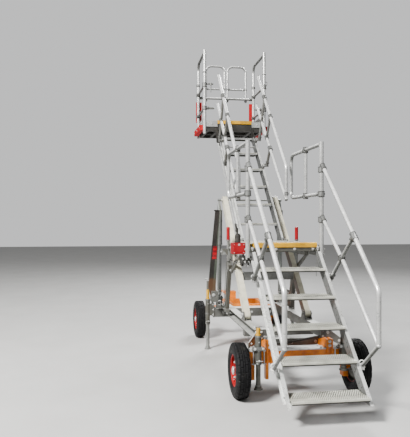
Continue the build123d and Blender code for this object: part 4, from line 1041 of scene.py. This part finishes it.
# rods
B = Build("rod_nuts", "levelling_rods", "zinc")
rod_dir = AL
for s in SIDES:
    for p in ((2.180, 1.348), (3.6437, 2.8117)):
        B.rod(P(s * 0.2952, *p), P(s * 0.2985, *p), 0.0165, 20)
    for u in (0.08, 1.92):
        e = P(s * 0.2895, 2.180, 1.348) + AL * u
        B.prism(e, e + AL * 0.045, 0.0155)
B.end()
# ------------------------------------------------------------------ lift arms
B = Build("arm_fittings", "arms", "zinc")
D = P(0, 2.8561, 1.9561)
for s in SIDES:
    for xx in (0.309, 0.3715):
        B.rod(D + X * s * (xx - 0.0012), D + X * s * (xx + 0.0012), 0.032, 28)
    B.rod(D + X * s * 0.385, D + X * s * 0.3885, 0.0175, 20)
    for xx in (0.2345, 0.2585):
        B.rod(D + X * s * (xx - 0.0012), D + X * s * (xx + 0.0012), 0.0152, 20)
    for t in (0.30, 0.62, 1.25):
        c = P(s * 0.3702, 1.555 + t * c45, 0.655 + t * c45)
        B.bolt(c, X * s, 0.014, 0.006)
    B.rod(P(s * 0.34, 2.822, 2.016), P(s * 0.34, 2.817, 2.024), 0.005, 10)
B.end()
B = Build("arm_welds", "arms", "cream")
for s in SIDES:
    for yy, zz in ((1.905, 0.993), (1.905, 1.087), (1.975, 0.993), (1.975, 1.087)):
        B.weld(P(s * 0.309, 1.906, zz), P(s * 0.309, 1.974, zz), 0.0035)
        B.weld(P(s * 0.309, yy, 0.994), P(s * 0.309, yy, 1.086), 0.0035)
        break
B.end()
B = Build("arm_brackets", "arms", "dark")
for s in SIDES:
    turn = Matrix.Rotation(math.radians(45), 3, "X")
    B.slab(P(s * 0.3065, 2.772, 1.872), (0.006, 0.130, 0.070), 0.001, turn)
    for t in (-0.045, 0.045):
        c = P(s * 0.303, 2.772, 1.872) + AL * t
        B.bolt(c, -X * s, 0.014, 0.006, False)
B.end()
# ------------------------------------------------------------------ rams
rd = (P(0, 2.8561, 1.9561) - P(0, 2.840, 0.660)).normalized()
foot_o = P(0, 2.840, 0.660)
B = Build("ram_fittings", "ram_rods", "ram")
B2 = Build("ram_bolts", "ram_rods", "zinc")
B3 = Build("ram_barrel_fittings", "ram_barrels", "zinc")
side_v = rd.cross(X).normalized()
for s in SIDES:
    for a in (0.714, 1.020, 1.155):
        for k in range(4):
            t = math.radians(45 + 90 * k)
            q = (X * math.cos(t) + side_v * math.sin(t))
            c = foot_o + X * s * 0.415 + rd * a + q * 0.0428
            B2.bolt(c, q, 0.0075, 0.003, False) if abs(q.x * s + 1) > 0.5 else None
    o = foot_o + X * s * 0.415
    B.rod(o + rd * 0.700, o + rd * 0.708, 0.0345, 28)
    B3.rod(o + rd * 0.060, o + rd * 0.072, 0.0305, 28)
    B3.rod(o + rd * 0.095, o + rd * 0.099, 0.0300, 28)
    B3.prism(o + rd * 0.11 - Y * 0.027, o + rd * 0.11 - Y * 0.042, 0.008)
    B3.rod(o + rd * 0.11 - Y * 0.040, o + rd * 0.11 - Y * 0.050, 0.0045, 12)
    for xx in (-0.0215, 0.0205):
        B2.rod(D + X * (s * 0.415 + xx), D + X * (s * 0.415 + xx + 0.001), 0.0120, 20)
B.end()
B2.end()
B3.end()
# ------------------------------------------------------------------ platform
PB = Build("platform_bolts", "platform", "zinc")
PC = Build("platform_clamps", "platform", "clamp")
studs("platform_studs", "platform", -0.425, 0.425, 3.922, 4.574, 3.195, 0.0200, 0.0064, 0.0022)
studs("platform_step_studs", "platform", -0.262, 0.262, 3.719, 3.861, 2.925, 0.0200, 0.0062, 0.0022)
B = Build("platform_step_lip", "platform", "aluminium")
B.slab(P(0, 3.7140, 2.9095), (0.529, 0.0022, 0.0270), 0.0004)
B.end()
B = Build("platform_nosing_ribs", "platform", "yellow")
for k in range(4):
    B.slab(P(0, 3.862 + 0.012 * k, 3.2055), (0.522, 0.0036, 0.0026), 0.0008)
B.end()
for s in SIDES:
    x = s * 0.4615
    sleeve(PC, P(x, 3.86, 3.703), P(x, 3.86, 3.767), 0.0347, 1, -Y)
    PC.rod(P(x, 3.86, 3.917), P(x, 3.86, 3.933), 0.0300, 24)
    sleeve(PC, P(x, 3.86, 3.356), P(x, 3.86, 3.416), 0.0335, 1, -Y)
    PC.arc(P(x, 3.8835, 4.235), X, Z, 0.0213, 0.0022, 0, 2 * math.pi, 28, 7)
    for z in (3.735, 3.386):
        sleeve(PC, P(x, 3.885, z), P(x, 3.935, z), 0.0232, 1, X * s)
        sleeve(PC, P(x, 4.488, z), P(x, 4.535, z), 0.0232, 1, X * s)
        sleeve(PC, P(x, 4.56, z - 0.025), P(x, 4.56, z + 0.025), 0.0303, 1, X * s)
    sleeve(PC, P(x, 4.56, 3.872), P(x, 4.56, 3.910), 0.0268, 1, X * s)
    sleeve(PC, P(x - s * 0.020, 3.86, 3.386), P(x - s * 0.062, 3.86, 3.386), 0.0215, 0)
    sleeve(PC, P(x - s * 0.024, 4.56, 3.695), P(x - s * 0.066, 4.56, 3.695), 0.0238, 1, Y)
    # bumper screws, their plates
    for yy in (3.93, 4.21, 4.495):
        PB.rod(P(s * 0.5325, yy, 3.0965), P(s * 0.5345, yy, 3.0965), 0.012, 20)
        PB.prism(P(s * 0.5342, yy, 3.0965), P(s * 0.5385, yy, 3.0965), 0.0075)
    for zz in (3.33, 3.595):
        PB.rod(P(s * 0.470, 4.6175, zz), P(s * 0.470, 4.6205, zz), 0.010, 18)
    # rivets of the toe boards, bolts of the feet
    for k in range(7):
        yy = 3.93 + 0.094 * k
        PB.dome(P(s * 0.4370, yy, 3.150), X * s, 0.005, 0.0025, 12, 3)
        PB.dome(P(s * 0.4370, yy, 3.270), X * s, 0.005, 0.0025, 12, 3)
    for zz in (3.060, 3.110):
        PB.bolt(P(s * 0.4435, 3.8675, zz), -Y, 0.009, 0.004, False)
    PB.bolt(P(s * 0.35, 3.8518, 3.150), -Y, 0.014, 0.006)
    # nuts of the pivot pins
    for p, r in (((3.6437, 2.8637), 0.0155), ((3.6437, 2.8117), 0.0125)):
        xx = 0.278 if p[1] > 2.85 else 0.2985
        PB.rod(P(s * xx, *p), P(s * (xx + 0.0025), *p), r * 1.25, 20)
    for yy, zz in ((3.885, 3.075), (3.885, 3.045)):
        PB.bolt(P(s * 0.284, yy, zz + 0.02), X * s, 0.014, 0.006)
for k in range(9):
    PB.dome(P(-0.40 + 0.10 * k, 4.587, 3.150), Y, 0.005, 0.0025, 12, 3)
    PB.dome(P(-0.40 + 0.10 * k, 4.587, 3.270), Y, 0.005, 0.0025, 12, 3)
# pin that hangs from a short rail beside the left post
PC.rod(P(-0.4400, 3.86, 3.752), P(-0.334, 3.86, 3.752), 0.0120, 18)
PC.dome(P(-0.334, 3.86, 3.752), X, 0.0120, 0.006, 18)
PC.rod(P(-0.366, 3.86, 3.735), P(-0.366, 3.86, 3.632), 0.0075, 14)
PC.dome(P(-0.366, 3.86, 3.6325), -Z, 0.0075, 0.008, 14)
PC.rod(P(-0.366, 3.86, 3.733), P(-0.366, 3.86, 3.771), 0.0140, 16)
# hook on the right post
PC.arc(P(0.4860, 3.86, 3.7875), X, Z, 0.0265, 0.0055, -math.pi / 2, math.pi / 2, 18)
# sleeves of the hoops: rolled ends and wing screws
for x in (-0.326, -0.017, 0.033, 0.342):
    for zz in (3.667, 3.723):
        PC.arc(P(x, 4.612, zz), X, Y, 0.0212, 0.0036, 0, 2 * math.pi, 28, 8)
    PB.rod(P(x, 4.634, 3.695), P(x, 4.650, 3.695), 0.005, 12)
    PB.slab(P(x, 4.654, 3.695), (0.034, 0.006, 0.012), 0.002)
PB.end()
PC.end()
for name, x0, x1 in (("left", -0.326, -0.017), ("right", 0.033, 0.342)):
    B = Build("hoop_collars_" + name, "hoop_" + name, "clamp")
    for x, t in ((x0, 1), (x1, -1)):
        B.rod(P(x, 4.612, 3.8455), P(x, 4.612, 3.8765), 0.0195, 22, 0.002)
        B.rod(P(x + t * 0.014, 4.612, 3.861), P(x + t * 0.040, 4.612, 3.861), 0.0170, 22, 0.002)
        B.dome(P(x, 4.612, 3.655), -Z, 0.0158, 0.005, 18, 4)
    B.end()
# welds of the platform's underframe
B = Build("underframe_welds", "platform", "galv")
for s in SIDES:
    for yy in (3.906, 4.200, 4.240, 4.540):
        B.weld(P(s * 0.395, yy, 3.042), P(s * 0.395, yy, 3.163), 0.003)
        B.weld(P(s * 0.239, yy, 3.042), P(s * 0.239, yy, 3.163), 0.003)
B.end()
BOLT.end()
CLAMP.end()
WELD.end()
for B in ENDS.values():
    B.end()

# ------------------------------------------------------------------ floor and light
floor_mat = Mat("studio_floor")
floor_mat.finish(floor_mat.ramp(floor_mat.noise(1.5, 5), [(0.3, (0.45, 0.45, 0.44)), (0.7, (0.50, 0.50, 0.49))]), 0.65)
bpy.ops.mesh.primitive_plane_add(size=60, location=(0, 0, 0))
floor = bpy.context.object
floor.name = "studio_floor"
floor.data.materials.append(floor_mat.m)

world = bpy.data.worlds.new("studio")
bpy.context.scene.world = world
world.use_nodes = True
wt = world.node_tree
bg = wt.nodes["Background"]
# a bright ceiling above darker walls, so that round tubes show light tops and dark sides
wc = wt.nodes.new("ShaderNodeTexCoord")
wz = wt.nodes.new("ShaderNodeSeparateXYZ")
wt.links.new(wc.outputs["Generated"], wz.inputs[0])
wr = wt.nodes.new("ShaderNodeValToRGB")
wr.color_ramp.elements[0].position = 0.02
wr.color_ramp.elements[0].color = (0.24, 0.245, 0.25, 1)
wr.color_ramp.elements[1].position = 0.65
wr.color_ramp.elements[1].color = (1.0, 1.0, 1.0, 1)
wt.links.new(wz.outputs["Z"], wr.inputs[0])
lp = wt.nodes.new("ShaderNodeLightPath")
wm = wt.nodes.new("ShaderNodeMix")
wm.data_type = "RGBA"
wt.links.new(lp.outputs["Is Camera Ray"], wm.inputs[0])
wt.links.new(wr.outputs["Color"], wm.inputs[6])
wm.inputs[7].default_value = (2.0, 2.01, 2.02, 1)
wt.links.new(wm.outputs[2], bg.inputs["Color"])
bg.inputs["Strength"].default_value = 0.38


def area(name, loc, aim, size, power, color=(1, 1, 1)):
    d = bpy.data.lights.new(name, "AREA")
    d.energy, d.size, d.color = power, size, color
    o = bpy.data.objects.new(name, d)
    o.location = loc
    o.rotation_euler = (Vector(aim) - Vector(loc)).to_track_quat("-Z", "Y").to_euler()
    bpy.context.scene.collection.objects.link(o)


area("key", (-6.5, -5.5, 8), (0, 0, 1.8), 2.2, 3600, (1.0, 0.985, 0.96))
area("fill", (7, -4, 5), (0, 0, 1.6), 6.0, 90, (0.95, 0.97, 1.0))
area("back", (3, 7, 8), (0, 0, 2.0), 3.0, 1100)
